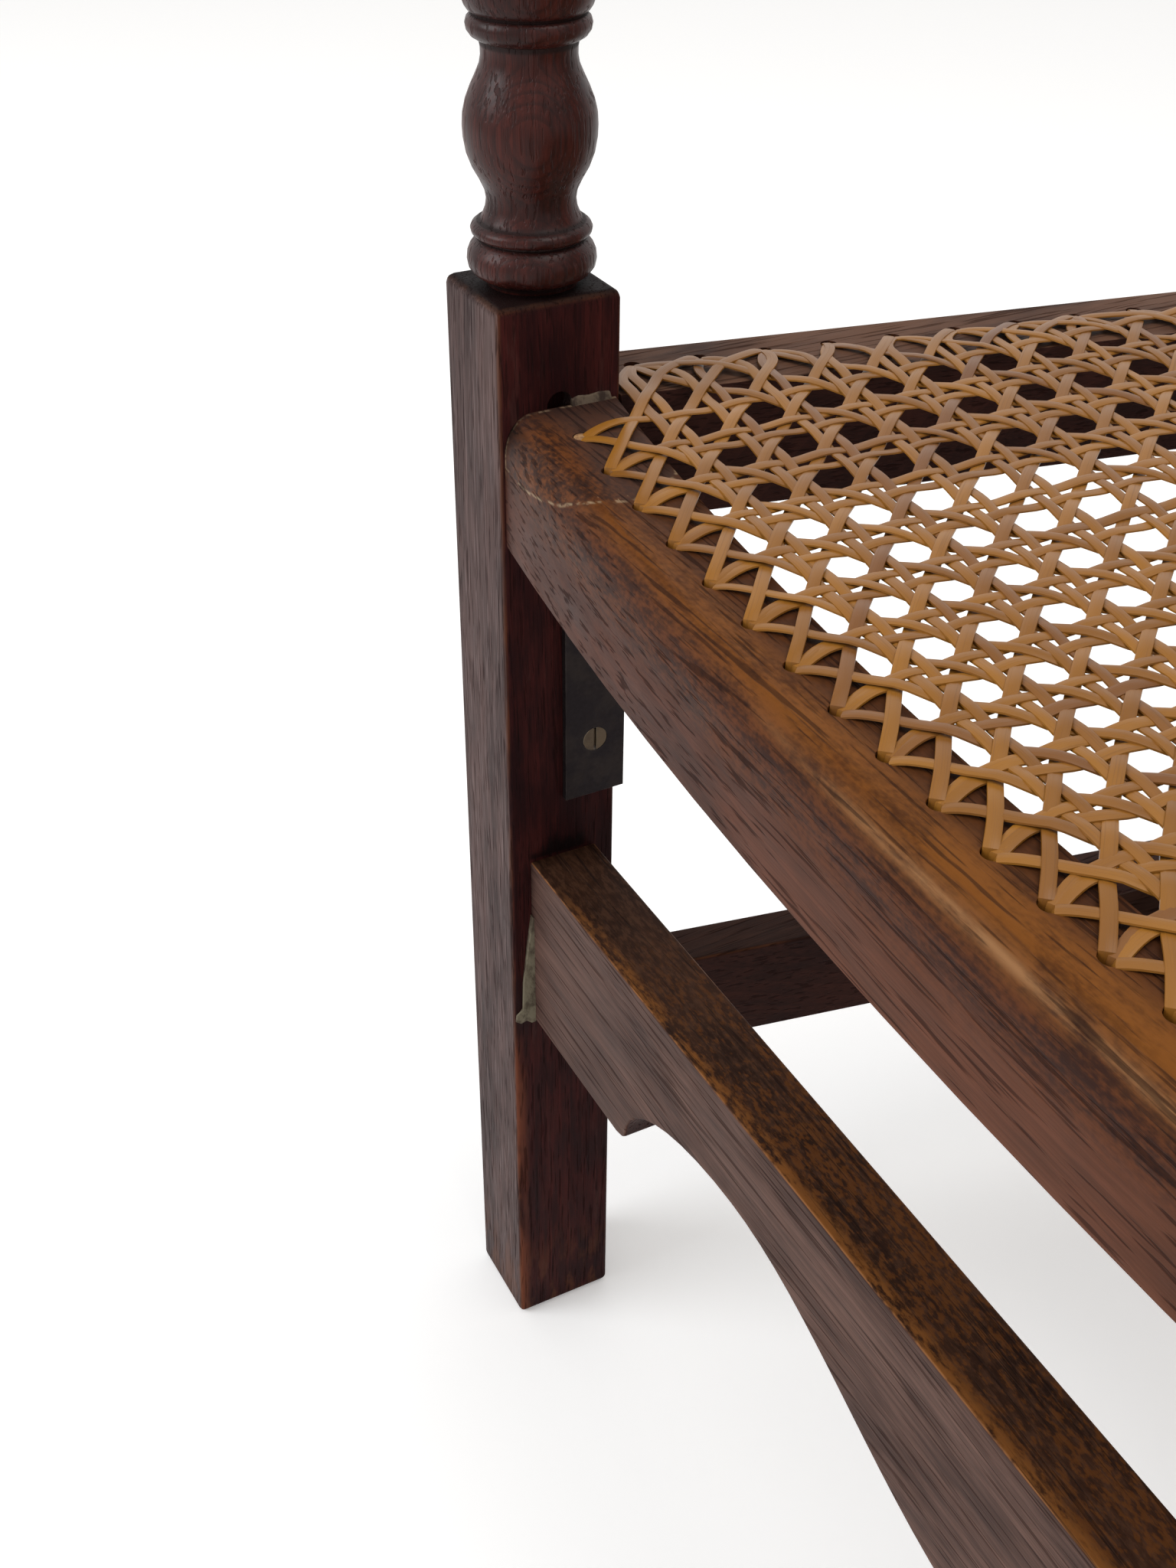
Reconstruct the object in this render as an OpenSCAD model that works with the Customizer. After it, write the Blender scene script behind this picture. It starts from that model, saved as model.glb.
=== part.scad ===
// Open armchair in dark stained oak, with turned arm supports, a bowed front
// seat rail, a shaped front stretcher, and a hand-caned seat and back.
// The front faces -Y, the left of the chair (as seen from the front) is -X,
// and the origin lies on the floor under the centre of the chair's box.

/* [Overall] */
// Width across the front legs
front_w = 613; // [580:1:650]
// Width across the back posts
back_w = 450; // [430:1:475]
// Depth from the front of the legs to the back of the posts at seat height
frame_d = 502; // [470:1:530]
// Height of the seat rails' top above the floor
seat_h = 402.5; // [380:0.5:430]

/* [Front legs] */
// Width of a front leg, side to side
leg_x = 37; // [35:0.5:42]
// Depth of a front leg, front to back
leg_y = 40.5; // [38:0.5:46]
// Height of the square block above the seat rails
leg_block_rise = 32.5; // [20:0.5:45]
// Length of the turned arm support between the block and the arm
support_l = 187; // [170:1:220]
// Diameter of the round tenon on top of the arm support
support_tenon_d = 20; // [14:1:24]
// Length of the round tenon on top of the arm support
support_tenon_l = 16; // [10:1:18]
// Width of the small flats that ease the long corners
leg_ease = 1.6; // [0.5:0.1:3]

/* [Back posts] */
// Side of the square back post
post_w = 38; // [35:0.5:42]
// Lean of the back from upright, in degrees
rake = 12; // [6:0.5:16]
// How far the rear foot sweeps behind the post
splay = 26; // [5:1:40]
// Height at which the rear leg starts to sweep back
splay_z = 330; // [290:1:345]
// Depth of the rear foot on the floor
foot_d = 34; // [28:0.5:38]
// Top of the square block that takes the lower back rail, along the post
low_block_top = 122; // [116:1:150]
// Distance from the top of the lower back rail to the top of its block
low_rail_drop = 10; // [8:1:16]
// Length of the square block at the arm, along the post
arm_block_l = 54; // [44:1:64]
// Underside of the crest rail and its block, along the post
crest_u = 486; // [450:1:520]
// Length of the square block at the crest rail, along the post
crest_block_l = 70; // [62:1:84]
// Length of the turned finial
finial_l = 44; // [36:1:60]

/* [Seat rails] */
// Depth of the seat rails, top to bottom
rail_d = 42; // [38:0.5:48]
// Width of the front rail at the legs
front_rail_end_w = 37; // [34:0.5:39]
// Width of the front rail at its middle
front_rail_mid_w = 30.5; // [24:0.5:32]
// How far the ends of the front rail stand in from the front of the legs
front_rail_inset = 1.7; // [0.5:0.1:3]
// How far the front rail bows forward from its ends
bow = 20.5; // [8:0.5:24]
// Width of the rounded top edge of the front rail
nose_w = 9; // [4:0.5:9]
// Height of the rounded top edge of the front rail
nose_h = 12; // [4:0.5:16]
// Width of the side rails
side_rail_w = 34; // [32:0.5:38]
// Width of the rear rail
rear_rail_w = 36; // [30:0.5:37]
// How far the side rails stand in from the outer faces of legs and posts
rail_inset = 3; // [1:0.5:4]
// Width of the dished brace under the middle of the seat
brace_w = 53; // [40:1:60]
// Thickness of the brace
brace_t = 16; // [12:1:18]
// Depth of the dish in the top of the brace
brace_dish = 12; // [4:1:14]
// Drop of the brace's ends below the seat
brace_drop = 12; // [10:1:14]

/* [Stretchers] */
// Height of the front stretcher's top
front_str_top = 236.5; // [210:0.5:250]
// Thickness of the front stretcher
front_str_t = 25; // [20:0.5:26]
// How far the front stretcher stands behind the front of the legs
front_str_inset = 8; // [6:0.5:10]
// Depth of the front stretcher at the legs
front_str_end_d = 72; // [60:1:78]
// Depth of the front stretcher at its middle
front_str_mid_d = 74; // [60:1:80]
// Depth of the front stretcher over the arches
front_str_arch_d = 36; // [30:1:50]
// Length of the level underside beside each leg
front_str_foot_l = 69; // [50:1:85]
// Distance from the leg to the top of the arch
front_str_crown = 138; // [120:1:160]
// Height of the small step where the arch springs
front_str_step = 3; // [1:0.5:6]
// Height of the side stretchers' top
side_str_top = 164; // [140:1:175]
// Depth of the side and rear stretchers
plain_str_d = 43; // [30:1:44]
// Thickness of the side and rear stretchers
plain_str_t = 19; // [16:0.5:22]
// Height of the rear stretcher's top
rear_str_top = 226.5; // [200:0.5:240]

/* [Arms] */
// Thickness of the arms
arm_t = 25; // [22:0.5:30]
// Half width of the rounded front end of an arm
arm_front_r = 27; // [23:0.5:32]
// Half width of an arm behind its front end
arm_waist_r = 19; // [16:0.5:20]
// How far the arm runs in front of the leg
arm_overhang = 25; // [22:1:40]
// Length over which the arm narrows
arm_narrow_l = 190; // [120:1:250]
// How far the arm bows outwards along its length
arm_bow = 8; // [0:1:14]

/* [Back] */
// Height of the lower back rail
low_rail_h = 50; // [40:1:56]
// Thickness of the lower back rail and the crest rail
back_rail_t = 22; // [18:0.5:26]
// Depth from the front of the posts to the front of the back's frame
back_inset = 8; // [7:0.5:10]
// Rise of the crest rail's top at its middle
crest_rise = 28; // [0:1:30]
// Width of the two stiles beside the cane
stile_w = 36; // [30:0.5:40]
// Thickness of the stiles
stile_t = 20; // [16:0.5:22]
// Gap between a stile and the turned post
stile_gap = 18; // [10:1:24]

/* [Cane] */
// Spacing of the cane holes beside the middle of the front and rear rails
mid_pitch = 17.3; // [16:0.1:22]
// Spacing of the cane holes at the corners of the front rail
corner_pitch = 24; // [20:0.1:26]
// Spacing of the cane holes along the side rails
cane_row = 21.6; // [19:0.1:24]
// Spacing of the cane holes across the back
back_pitch = 20.8; // [19:0.1:24]
// Diameter of the cane holes
cane_hole_d = 5.5; // [4:0.1:7]
// Distance from the outer face of the front rail to its cane holes, at the middle
front_hole_in = 17; // [14:0.5:19]
// Distance from the front of the legs to the line of the front rail's cane holes
front_hole_end = 19.7; // [17:0.1:21]
// Distance from the back of the legs to the first cane holes of the side rails
side_hole_start = 14.2; // [12:0.1:18]
// Distance from the outer face of the side rails to their cane holes
side_hole_in = 12.5; // [11:0.5:22]
// Distance from the inner edge of the rear rail and the back's frame to the cane holes
inner_hole_in = 14; // [12:0.5:16]
// Thickness of the woven cane
cane_t = 2.5; // [2:0.1:4]
// Width of the woven cane outside its holes
cane_margin = 4; // [3.5:0.5:5]
// Spacing of the gaps in the woven cane
net_pitch = 36; // [33:1:48]
// Width of a gap in the woven cane
net_gap = 26; // [16:1:26]
// Length of the pegs in the corner holes
cane_peg_l = 24; // [12:1:30]

/* [Brackets and screws] */
// Width of an angle bracket
bracket_w = 22; // [18:1:24]
// Thickness of an angle bracket
bracket_t = 2.5; // [2:0.1:3]
// Distance from the bracket's lower end to the front stretcher
bracket_clear = 24; // [14:1:34]
// Length of the bracket's arm under the seat
bracket_run = 50; // [42:1:60]
// Distance from the front of the leg to the bracket
bracket_y = 20.5; // [19:0.5:24]
// Distance from the bracket's lower end to its lower screw in the leg
bracket_screw_end = 22; // [14:1:26]
// Distance from the underside of the rail to the bracket's upper screw in the leg
bracket_screw_top = 28; // [20:1:34]
// Distance from the end of the bracket's arm under the rail to its outer screw
bracket_run_end = 13; // [8:1:16]
// Spacing of the two screws in the bracket's arm under the rail
bracket_run_gap = 22; // [12:1:24]
// Distance from the bracket's front edge to the screws under the rail
bracket_run_in = 6.5; // [5:0.5:8]
// Diameter of a screw's head
screw_head_d = 8.8; // [7:0.1:9.5]
// Diameter of a screw's shank
screw_d = 4; // [3:0.1:4.5]
// Length of a screw
screw_l = 20; // [14:1:22]
// Depth of the countersunk head
screw_head_h = 2.2; // [1.6:0.1:2.2]

/* [Joints] */
// Thickness of the tenons
tenon_t = 11; // [8:0.5:12]
// Length of the tenons that enter a leg or post from the side
tenon_l = 22; // [14:1:24]
// Length of the tenons that enter a leg or post from the front or back
short_tenon_l = 13; // [8:1:14]
// Length of the tenons of the brace
brace_tenon_l = 5; // [3:0.5:6]
// Width of the shoulder above and below a tenon
shoulder = 6; // [4:0.5:8]
// Clearance between the cheeks of a tenon and its mortise
glue_gap = 0.15; // [0.05:0.05:0.3]
// Clearance at the end of a tenon
end_gap = 1; // [0.3:0.1:2]

/* [Turning] */
// Largest radius of the torus beside each block
torus_r = 18.8; // [17:0.1:19]
// Height of the torus
torus_h = 11.5; // [10:0.5:16]
// Radius of the bead over the torus
bead_r = 17.2; // [16:0.1:18]
// Height of the bead
bead_h = 6; // [4:0.5:8]
// Depth of the grooves beside the torus
torus_groove = 2.8; // [1:0.1:4]
// Depth of the grooves beside the beads
bead_groove = 2; // [1:0.1:3]
// Radius of the narrow necks
neck_r = 13; // [11:0.1:15]
// Largest radius of the vase-shaped swelling
vase_r = 19; // [17:0.1:19.4]
// Height of the ring beside the ball
ring_h = 6; // [4:0.5:8]
// Height of the ball in the middle of a long turning
ball_h = 36; // [28:1:40]
// Largest radius of the ball
ball_r = 20; // [18:0.1:20.5]
// Radius of the neck under the finial's knob
finial_neck_r = 10; // [7:0.5:12]

/* [Hidden] */

$fn = 48;
ARC_FACETS = 1440;
LEFT = -1;
RIGHT = 1;

OAK_DARK = [0.25, 0.13, 0.11];
OAK_WORN = [0.44, 0.27, 0.14];
OAK_MID = [0.33, 0.19, 0.14];
CANE = [0.73, 0.53, 0.27];
PEG = [0.55, 0.38, 0.20];
STEEL = [0.17, 0.16, 0.15];
SCREW = [0.32, 0.29, 0.25];

// Heights, faces and lines that several pieces share. Depths are measured
// backwards from the front faces of the front legs.
rail_z = seat_h - rail_d;
leg_in = front_w / 2 - leg_x;
leg_cx = front_w / 2 - leg_x / 2;
leg_cy = leg_y / 2;
post_in = back_w / 2 - post_w;
post_cx = back_w / 2 - post_w / 2;
post_y = frame_d - post_w;
arm_z = seat_h + leg_block_rise + support_l;
arm_mid_z = arm_z + arm_t / 2;
post_top = crest_u + crest_block_l;
arm_u = (arm_mid_z - seat_h) / cos(rake);

// The front rail lies between two arcs that end at the legs. The outer one
// starts a little behind their front faces, and the inner one curves more.
function arc_r(rise) = (leg_in * leg_in + rise * rise) / (2 * rise);
bow_r = arc_r(bow);
bow_cy = bow_r + front_rail_inset - bow;
bow_sweep = 2 * asin(leg_in / bow_r) + 2;
inner_bow = bow + front_rail_end_w - front_rail_mid_w;
inner_r = arc_r(inner_bow);
inner_cy = inner_r + front_rail_inset + front_rail_end_w - inner_bow;
function inner_y(x) = inner_cy - sqrt(inner_r * inner_r - x * x);
hole_bow = front_hole_end - front_rail_inset + bow - front_hole_in;
function front_hole_y(x) = front_hole_end - hole_bow * (1 - pow(x / leg_in, 2));

// The side rails taper inwards from the legs to the posts
side_f = front_w / 2 - rail_inset;
side_slope = (front_w - back_w) / 2 / (post_y - leg_y);
side_rail_x = side_rail_w * sqrt(1 + side_slope * side_slope);
function side_x(y) = side_f - (y - leg_y) * side_slope;

// The front of a back post: swept leg, upright at the seat, leaning above it
function post_front(z) =
    z < splay_z ? post_y + splay * (1 - z / splay_z)
    : z < seat_h ? post_y
    : post_y + (z - seat_h) * tan(rake);

// Centre line and half width of an arm at depth y
arm_end_y = post_front(arm_mid_z);
arm_round_y = arm_front_r - arm_overhang;
function arm_share(y) = (y - leg_cy) / (arm_end_y - leg_cy);
function arm_cx(y) =
    leg_cx - (leg_cx - post_cx) * arm_share(y) + arm_bow * sin(180 * max(0, min(1, arm_share(y))));
function arm_half(y) =
    arm_waist_r + (arm_front_r - arm_waist_r)
    * (0.5 + 0.5 * cos(180 * min(1, (y - arm_round_y) / arm_narrow_l)));

// Cane holes: rows along the rails, as far as the legs and posts allow
hole_land = 2 * cane_hole_d;
front_holes = floor((leg_in - hole_land) / ((mid_pitch + corner_pitch) / 2));
function hole_x(n) =
    n * mid_pitch + sign(n) * abs(n) * (abs(n) - 1) * (corner_pitch - mid_pitch) / 2 / (front_holes - 1);
rear_holes = len([for (n = [1 : front_holes]) if (hole_x(n) < post_in - hole_land) n]);
side_first_y = leg_y + side_hole_start;
side_holes = floor((post_y - cane_hole_d - side_first_y) / cane_row);
rear_rail_y = post_y + (post_w - rear_rail_w) / 2;
rear_hole_y = rear_rail_y + inner_hole_in;

// The caned opening of the back, between the stiles and the rails
panel_half = post_in - stile_gap - stile_w;
low_rail_u = low_block_top - low_rail_h - low_rail_drop;
panel_u0 = low_rail_u + low_rail_h;
panel_mid_u = (panel_u0 + crest_u) / 2;
panel_holes_x = floor(panel_half / back_pitch);
panel_holes_u = floor((crest_u - panel_u0) / 2 / cane_row);

// The chair's box, front to back, gives the origin
box_front = min(-arm_overhang, front_rail_inset - bow);
block_back = post_y + post_w * cos(rake) + post_top * sin(rake);
finial_back = max([for (p = finial_turning(finial_l))
    post_y + (post_w / 2 + p[1]) * cos(rake) + (post_top + p[0]) * sin(rake)]);
box_back = max(block_back, finial_back);
shift_y = -(box_front + box_back) / 2;

module placed() {
    translate([0, shift_y, 0]) children();
}

// Pieces are drawn on the left, and the right one is its mirror image
module on_side(side) {
    placed() mirror([side == RIGHT ? 1 : 0, 0, 0]) children();
}

// The plane of the back: x across, y behind the posts' front, z up the posts
module leaning() {
    translate([0, post_y, seat_h]) rotate([-rake, 0, 0]) children();
}

// A box between two corners
module block(low, high) {
    translate(low) cube(high - low);
}

// Cross-section of a square member with eased corners, centred
module eased(x, y, ease) {
    polygon([for (q = [[1, 1], [-1, 1], [-1, -1], [1, -1]], k = [0, 1])
        let (first = (q[0] * q[1] > 0) == (k == 0))
        [q[0] * (x / 2 - (first ? 0 : ease)), q[1] * (y / 2 - (first ? ease : 0))]]);
}

// Turned profiles are lists of [height, radius]
function swell(z, h, r, depth, steps) =
    [for (i = [0 : steps]) let (a = -90 + 180 * i / steps)
        [z + h / 2 + h / 2 * sin(a), r - depth + depth * cos(a)]];

base_l = torus_h + bead_h;
function base_turning() = concat(
    swell(0, torus_h, torus_r, torus_groove, 8),
    swell(torus_h, bead_h, bead_r, bead_groove, 6));

function vase(z, l) =
    [for (i = [0 : 16]) let (t = i / 16)
        [z + l * t, neck_r + 1.4 * pow(abs(2 * t - 1), 6)
            + (vase_r - neck_r) * pow(0.5 - 0.5 * cos(360 * t), 0.95)]];

function flipped(points, l) =
    [for (i = [len(points) - 1 : -1 : 0]) [l - points[i][0], points[i][1]]];

function short_turning(l) = concat(
    base_turning(),
    vase(base_l, l - 2 * base_l),
    flipped(base_turning(), l));

function long_half(l) = let (vase_l = l / 2 - base_l - ring_h - ball_h / 2) concat(
    base_turning(),
    vase(base_l, vase_l),
    swell(base_l + vase_l, ring_h, bead_r, bead_groove, 6));

function long_turning(l) = concat(
    long_half(l),
    swell(l / 2 - ball_h / 2, ball_h, ball_r, ball_r - neck_r - 3, 12),
    flipped(long_half(l), l));

function finial_turning(l) = concat(
    swell(0, ring_h, bead_r, bead_groove, 6),
    [[ring_h + 2, finial_neck_r]],
    [for (i = [1 : 10]) let (a = -60 + 145 * i / 10, r = (l - ring_h - 4) / 2)
        [ring_h + 4 + r + r * sin(a), min(bead_r, r) * cos(a)]]);

module turned(points, l) {
    rotate_extrude()
        polygon(concat([[0, 0]], [for (p = points) [p[1], p[0]]], [[0, l]]));
}

// Everything behind the front faces of the posts, which cuts shoulders to fit them
module behind_posts() {
    far = frame_d * 2;
    reach = seat_h * 3;
    translate([-front_w, 0, 0]) rotate([90, 0, 90]) linear_extrude(2 * front_w)
        polygon([[post_front(-20), -20], [post_front(splay_z), splay_z], [post_y, seat_h],
            [post_front(reach), reach], [far, reach], [far, -20]]);
}

// Tenons, drawn from a little way inside their own piece. With wide and deep
// set, the same shape cuts the mortise.
bite = 6;
mortise_wall = 2;
module front_rail_tenon(wide = 0, deep = 0) {
    y = front_rail_end_w / 2;
    block([-leg_in - tenon_l - deep, y - tenon_t / 2 - wide, rail_z + shoulder - wide],
        [-leg_in + bite, y + tenon_t / 2 + wide, seat_h - shoulder + wide]);
}

module side_rail_front_tenon(wide = 0, deep = 0) {
    x = -side_x(leg_y) + side_rail_x / 2;
    block([x - tenon_t / 2 - wide, leg_y - short_tenon_l - deep, rail_z + shoulder - wide],
        [x + tenon_t / 2 + wide, leg_y + bite, seat_h - shoulder + wide]);
}

module side_rail_rear_tenon(wide = 0, deep = 0) {
    x = -side_x(post_y) + side_rail_x / 2;
    block([x - tenon_t / 2 - wide, post_y - bite, rail_z + shoulder - wide],
        [x + tenon_t / 2 + wide, post_y + short_tenon_l + deep, seat_h - shoulder + wide]);
}

module rear_rail_tenon(wide = 0, deep = 0) {
    y = post_y + short_tenon_l + end_gap + mortise_wall;
    block([-post_in - tenon_l - deep, y - wide, rail_z + shoulder - wide],
        [-post_in + bite, y + tenon_t + wide, seat_h - shoulder - mortise_wall + wide]);
}

module front_str_tenon(wide = 0, deep = 0) {
    y = front_str_inset + front_str_t / 2;
    block([-leg_in - tenon_l - deep, y - tenon_t / 2 - wide,
            front_str_top - front_str_end_d + shoulder - wide],
        [-leg_in + bite, y + tenon_t / 2 + wide, front_str_top - shoulder + wide]);
}

module side_str_front_tenon(wide = 0, deep = 0) {
    block([-leg_cx - tenon_t / 2 - wide, leg_y - short_tenon_l - deep,
            side_str_top - plain_str_d + shoulder - wide],
        [-leg_cx + tenon_t / 2 + wide, leg_y + bite, side_str_top - shoulder + wide]);
}

module side_str_rear_tenon(wide = 0, deep = 0) {
    y = post_front(side_str_top - plain_str_d / 2);
    block([-post_cx - tenon_t / 2 - wide, y - bite, side_str_top - plain_str_d + shoulder - wide],
        [-post_cx + tenon_t / 2 + wide, y + short_tenon_l + deep, side_str_top - shoulder + wide]);
}

module rear_str_tenon(wide = 0, deep = 0) {
    y = post_front(rear_str_top - plain_str_d / 2) + post_w / 2;
    block([-post_in - tenon_l - deep, y - tenon_t / 2 - wide,
            rear_str_top - plain_str_d + shoulder - wide],
        [-post_in + bite, y + tenon_t / 2 + wide, rear_str_top - shoulder + wide]);
}

module arm_tenon(wide = 0, deep = 0) {
    block([-post_cx - tenon_t - wide, arm_end_y - bite, arm_z + shoulder - wide],
        [-post_cx + tenon_t + wide, arm_end_y + tenon_l + deep, arm_z + arm_t - shoulder + wide]);
}

module support_tenon(wide = 0, deep = 0) {
    translate([-leg_cx, leg_cy, arm_z - 1])
        cylinder(d = support_tenon_d + 2 * wide, h = support_tenon_l + deep + 1);
}

module low_rail_tenon(wide = 0, deep = 0) {
    y = back_inset + back_rail_t / 2;
    leaning() block([-post_in - tenon_l - deep, y - tenon_t / 2 - wide, low_rail_u + shoulder - wide],
        [-post_in + bite, y + tenon_t / 2 + wide, panel_u0 - shoulder + wide]);
}

module crest_tenon(wide = 0, deep = 0) {
    y = back_inset + back_rail_t / 2;
    leaning() block([-post_in - tenon_l - deep, y - tenon_t / 2 - wide, crest_u + shoulder - wide],
        [-post_in + bite, y + tenon_t / 2 + wide, post_top - shoulder * 2 + wide]);
}

module stile_tenons(wide = 0, deep = 0) {
    y = back_inset + stile_t / 2;
    x = panel_half + stile_w / 2;
    t = tenon_t - 2;
    leaning() for (end = [[panel_u0 - short_tenon_l - deep, panel_u0 + bite],
            [crest_u - bite, crest_u + short_tenon_l + deep]])
        block([-x - stile_w / 4 - wide, y - t / 2 - wide, end[0]],
            [-x + stile_w / 4 + wide, y + t / 2 + wide, end[1]]);
}

brace_y0 = inner_y(brace_w / 2) + glue_gap;
module brace_tenons(wide = 0, deep = 0) {
    top = seat_h - brace_drop - brace_t / 4;
    for (y = [[brace_y0 - brace_tenon_l - deep, brace_y0 + bite],
            [rear_rail_y - bite, rear_rail_y + brace_tenon_l + deep]])
        block([-brace_w / 2 + shoulder - wide, y[0], top - brace_t / 2 - wide],
            [brace_w / 2 - shoulder + wide, y[1], top + wide]);
}

// Screws, with a countersunk head flush with the bracket and a tapered point
module screw_body(wide = 0) {
    rim = 0.3;
    point_l = 3;
    point_r = 0.6;
    head = screw_head_d / 2 + wide;
    shank = screw_d / 2 + wide;
    rotate_extrude() polygon([[0, wide / 2], [head, wide / 2], [head, -rim], [shank, -screw_head_h],
        [shank, -screw_l + point_l], [point_r, -screw_l - wide], [0, -screw_l - wide]]);
}

bracket_low = front_str_top + bracket_clear;
run_screw_x = -leg_in + bracket_run - bracket_run_end;
module at_bracket_screws() {
    for (z = [bracket_low + bracket_screw_end, rail_z - bracket_screw_top])
        translate([-leg_in + bracket_t, bracket_y + bracket_w / 2, z])
            rotate([0, 90, 0]) children();
    for (x = [run_screw_x, run_screw_x - bracket_run_gap])
        translate([x, bracket_y + bracket_run_in, rail_z - bracket_t])
            rotate([180, 0, 0]) children();
}

module front_leg(side) {
    color(OAK_DARK) on_side(side) difference() {
        union() {
            translate([-leg_cx, leg_cy, 0])
                linear_extrude(seat_h + leg_block_rise) eased(leg_x, leg_y, leg_ease);
            translate([-leg_cx, leg_cy, seat_h + leg_block_rise])
                turned(long_turning(support_l), support_l);
            support_tenon();
        }
        front_rail_tenon(glue_gap, end_gap);
        side_rail_front_tenon(glue_gap, end_gap);
        front_str_tenon(glue_gap, end_gap);
        side_str_front_tenon(glue_gap, end_gap);
        at_bracket_screws() screw_body(glue_gap);
    }
}

module back_post(side) {
    knee = post_w * tan(rake / 2);
    arm_low = arm_u - arm_block_l / 2;
    arm_high = arm_u + arm_block_l / 2;
    color(OAK_DARK) on_side(side) difference() {
        union() {
            translate([-back_w / 2, 0, 0]) rotate([90, 0, 90]) linear_extrude(post_w)
                polygon([[post_front(0), 0], [post_y, splay_z], [post_y, seat_h],
                    [frame_d, seat_h - knee], [frame_d, splay_z], [post_front(0) + foot_d, 0]]);
            leaning() {
                block([-back_w / 2, 0, 0], [-post_in, post_w, low_block_top]);
                block([-back_w / 2, 0, arm_low], [-post_in, post_w, arm_high]);
                block([-back_w / 2, 0, crest_u], [-post_in, post_w, post_top]);
                translate([-post_cx, post_w / 2, low_block_top])
                    turned(short_turning(arm_low - low_block_top), arm_low - low_block_top);
                translate([-post_cx, post_w / 2, arm_high])
                    turned(long_turning(crest_u - arm_high), crest_u - arm_high);
                translate([-post_cx, post_w / 2, post_top])
                    turned(finial_turning(finial_l), finial_l);
                translate([-post_cx, post_w / 2, low_block_top - bite])
                    cylinder(r = finial_neck_r - 1, h = post_top + 2 * bite - low_block_top);
            }
        }
        side_rail_rear_tenon(glue_gap, end_gap);
        rear_rail_tenon(glue_gap, end_gap);
        side_str_rear_tenon(glue_gap, end_gap);
        rear_str_tenon(glue_gap, end_gap);
        arm_tenon(glue_gap, end_gap);
        low_rail_tenon(glue_gap, end_gap);
        crest_tenon(glue_gap, end_gap);
    }
}

// Front rail: one section swept round the outer arc, so that its top edge is
// rounded all along, and cut back to the inner arc
module front_seat_rail() {
    nose = [for (a = [0 : 10 : 90])
        [bow_r - nose_w + nose_w * cos(a), seat_h - nose_h + nose_h * sin(a)]];
    back_r = bow_r - front_rail_end_w - 10;
    color(OAK_WORN) placed() difference() {
        union() {
            intersection() {
                translate([0, bow_cy, 0]) rotate([0, 0, -90 - bow_sweep / 2])
                    rotate_extrude(angle = bow_sweep, $fn = ARC_FACETS)
                        polygon(concat([[back_r, rail_z], [bow_r, rail_z]], nose, [[back_r, seat_h]]));
                block([-leg_in, -bow - 5, rail_z - 5], [leg_in, frame_d, seat_h + 5]);
            }
            for (m = [0, 1]) mirror([m, 0, 0]) front_rail_tenon();
        }
        translate([0, inner_cy, rail_z - 1])
            cylinder(r = inner_r, h = rail_d + 2, $fn = ARC_FACETS);
        for (i = [-front_holes : front_holes])
            translate([hole_x(i), front_hole_y(hole_x(i)), rail_z - 1])
                cylinder(d = cane_hole_d, h = rail_d + 2);
        brace_tenons(glue_gap, end_gap / 2);
        for (m = [0, 1]) mirror([m, 0, 0]) at_bracket_screws() screw_body(glue_gap);
    }
}

module side_seat_rail(side) {
    color(OAK_MID) on_side(side) difference() {
        union() {
            translate([0, 0, rail_z]) linear_extrude(rail_d)
                polygon([[-side_x(leg_y), leg_y], [-side_x(leg_y) + side_rail_x, leg_y],
                    [-side_x(post_y) + side_rail_x, post_y], [-side_x(post_y), post_y]]);
            side_rail_front_tenon();
            side_rail_rear_tenon();
        }
        for (i = [0 : side_holes])
            translate([-side_x(side_first_y + i * cane_row) + side_hole_in,
                    side_first_y + i * cane_row, rail_z - 1])
                cylinder(d = cane_hole_d, h = rail_d + 2);
    }
}

module rear_seat_rail() {
    color(OAK_MID) placed() difference() {
        union() {
            block([-post_in, rear_rail_y, rail_z], [post_in, rear_rail_y + rear_rail_w, seat_h]);
            for (m = [0, 1]) mirror([m, 0, 0]) rear_rail_tenon();
        }
        for (i = [-rear_holes : rear_holes])
            translate([hole_x(i), rear_hole_y, rail_z - 1])
                cylinder(d = cane_hole_d, h = rail_d + 2);
        brace_tenons(glue_gap, end_gap / 2);
    }
}

// Brace: dished on top so that the loaded cane clears it
module seat_brace() {
    span = rear_rail_y - brace_y0;
    top = seat_h - brace_drop;
    dished = [for (i = [0 : 20]) let (t = i / 20)
        [brace_y0 + span * t, top - brace_dish * (1 - pow(2 * t - 1, 2))]];
    color(OAK_MID) placed() union() {
        translate([-brace_w / 2, 0, 0]) rotate([90, 0, 90]) linear_extrude(brace_w)
            polygon(concat(dished, [for (i = [20 : -1 : 0]) dished[i] - [0, brace_t]]));
        brace_tenons();
    }
}

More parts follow.
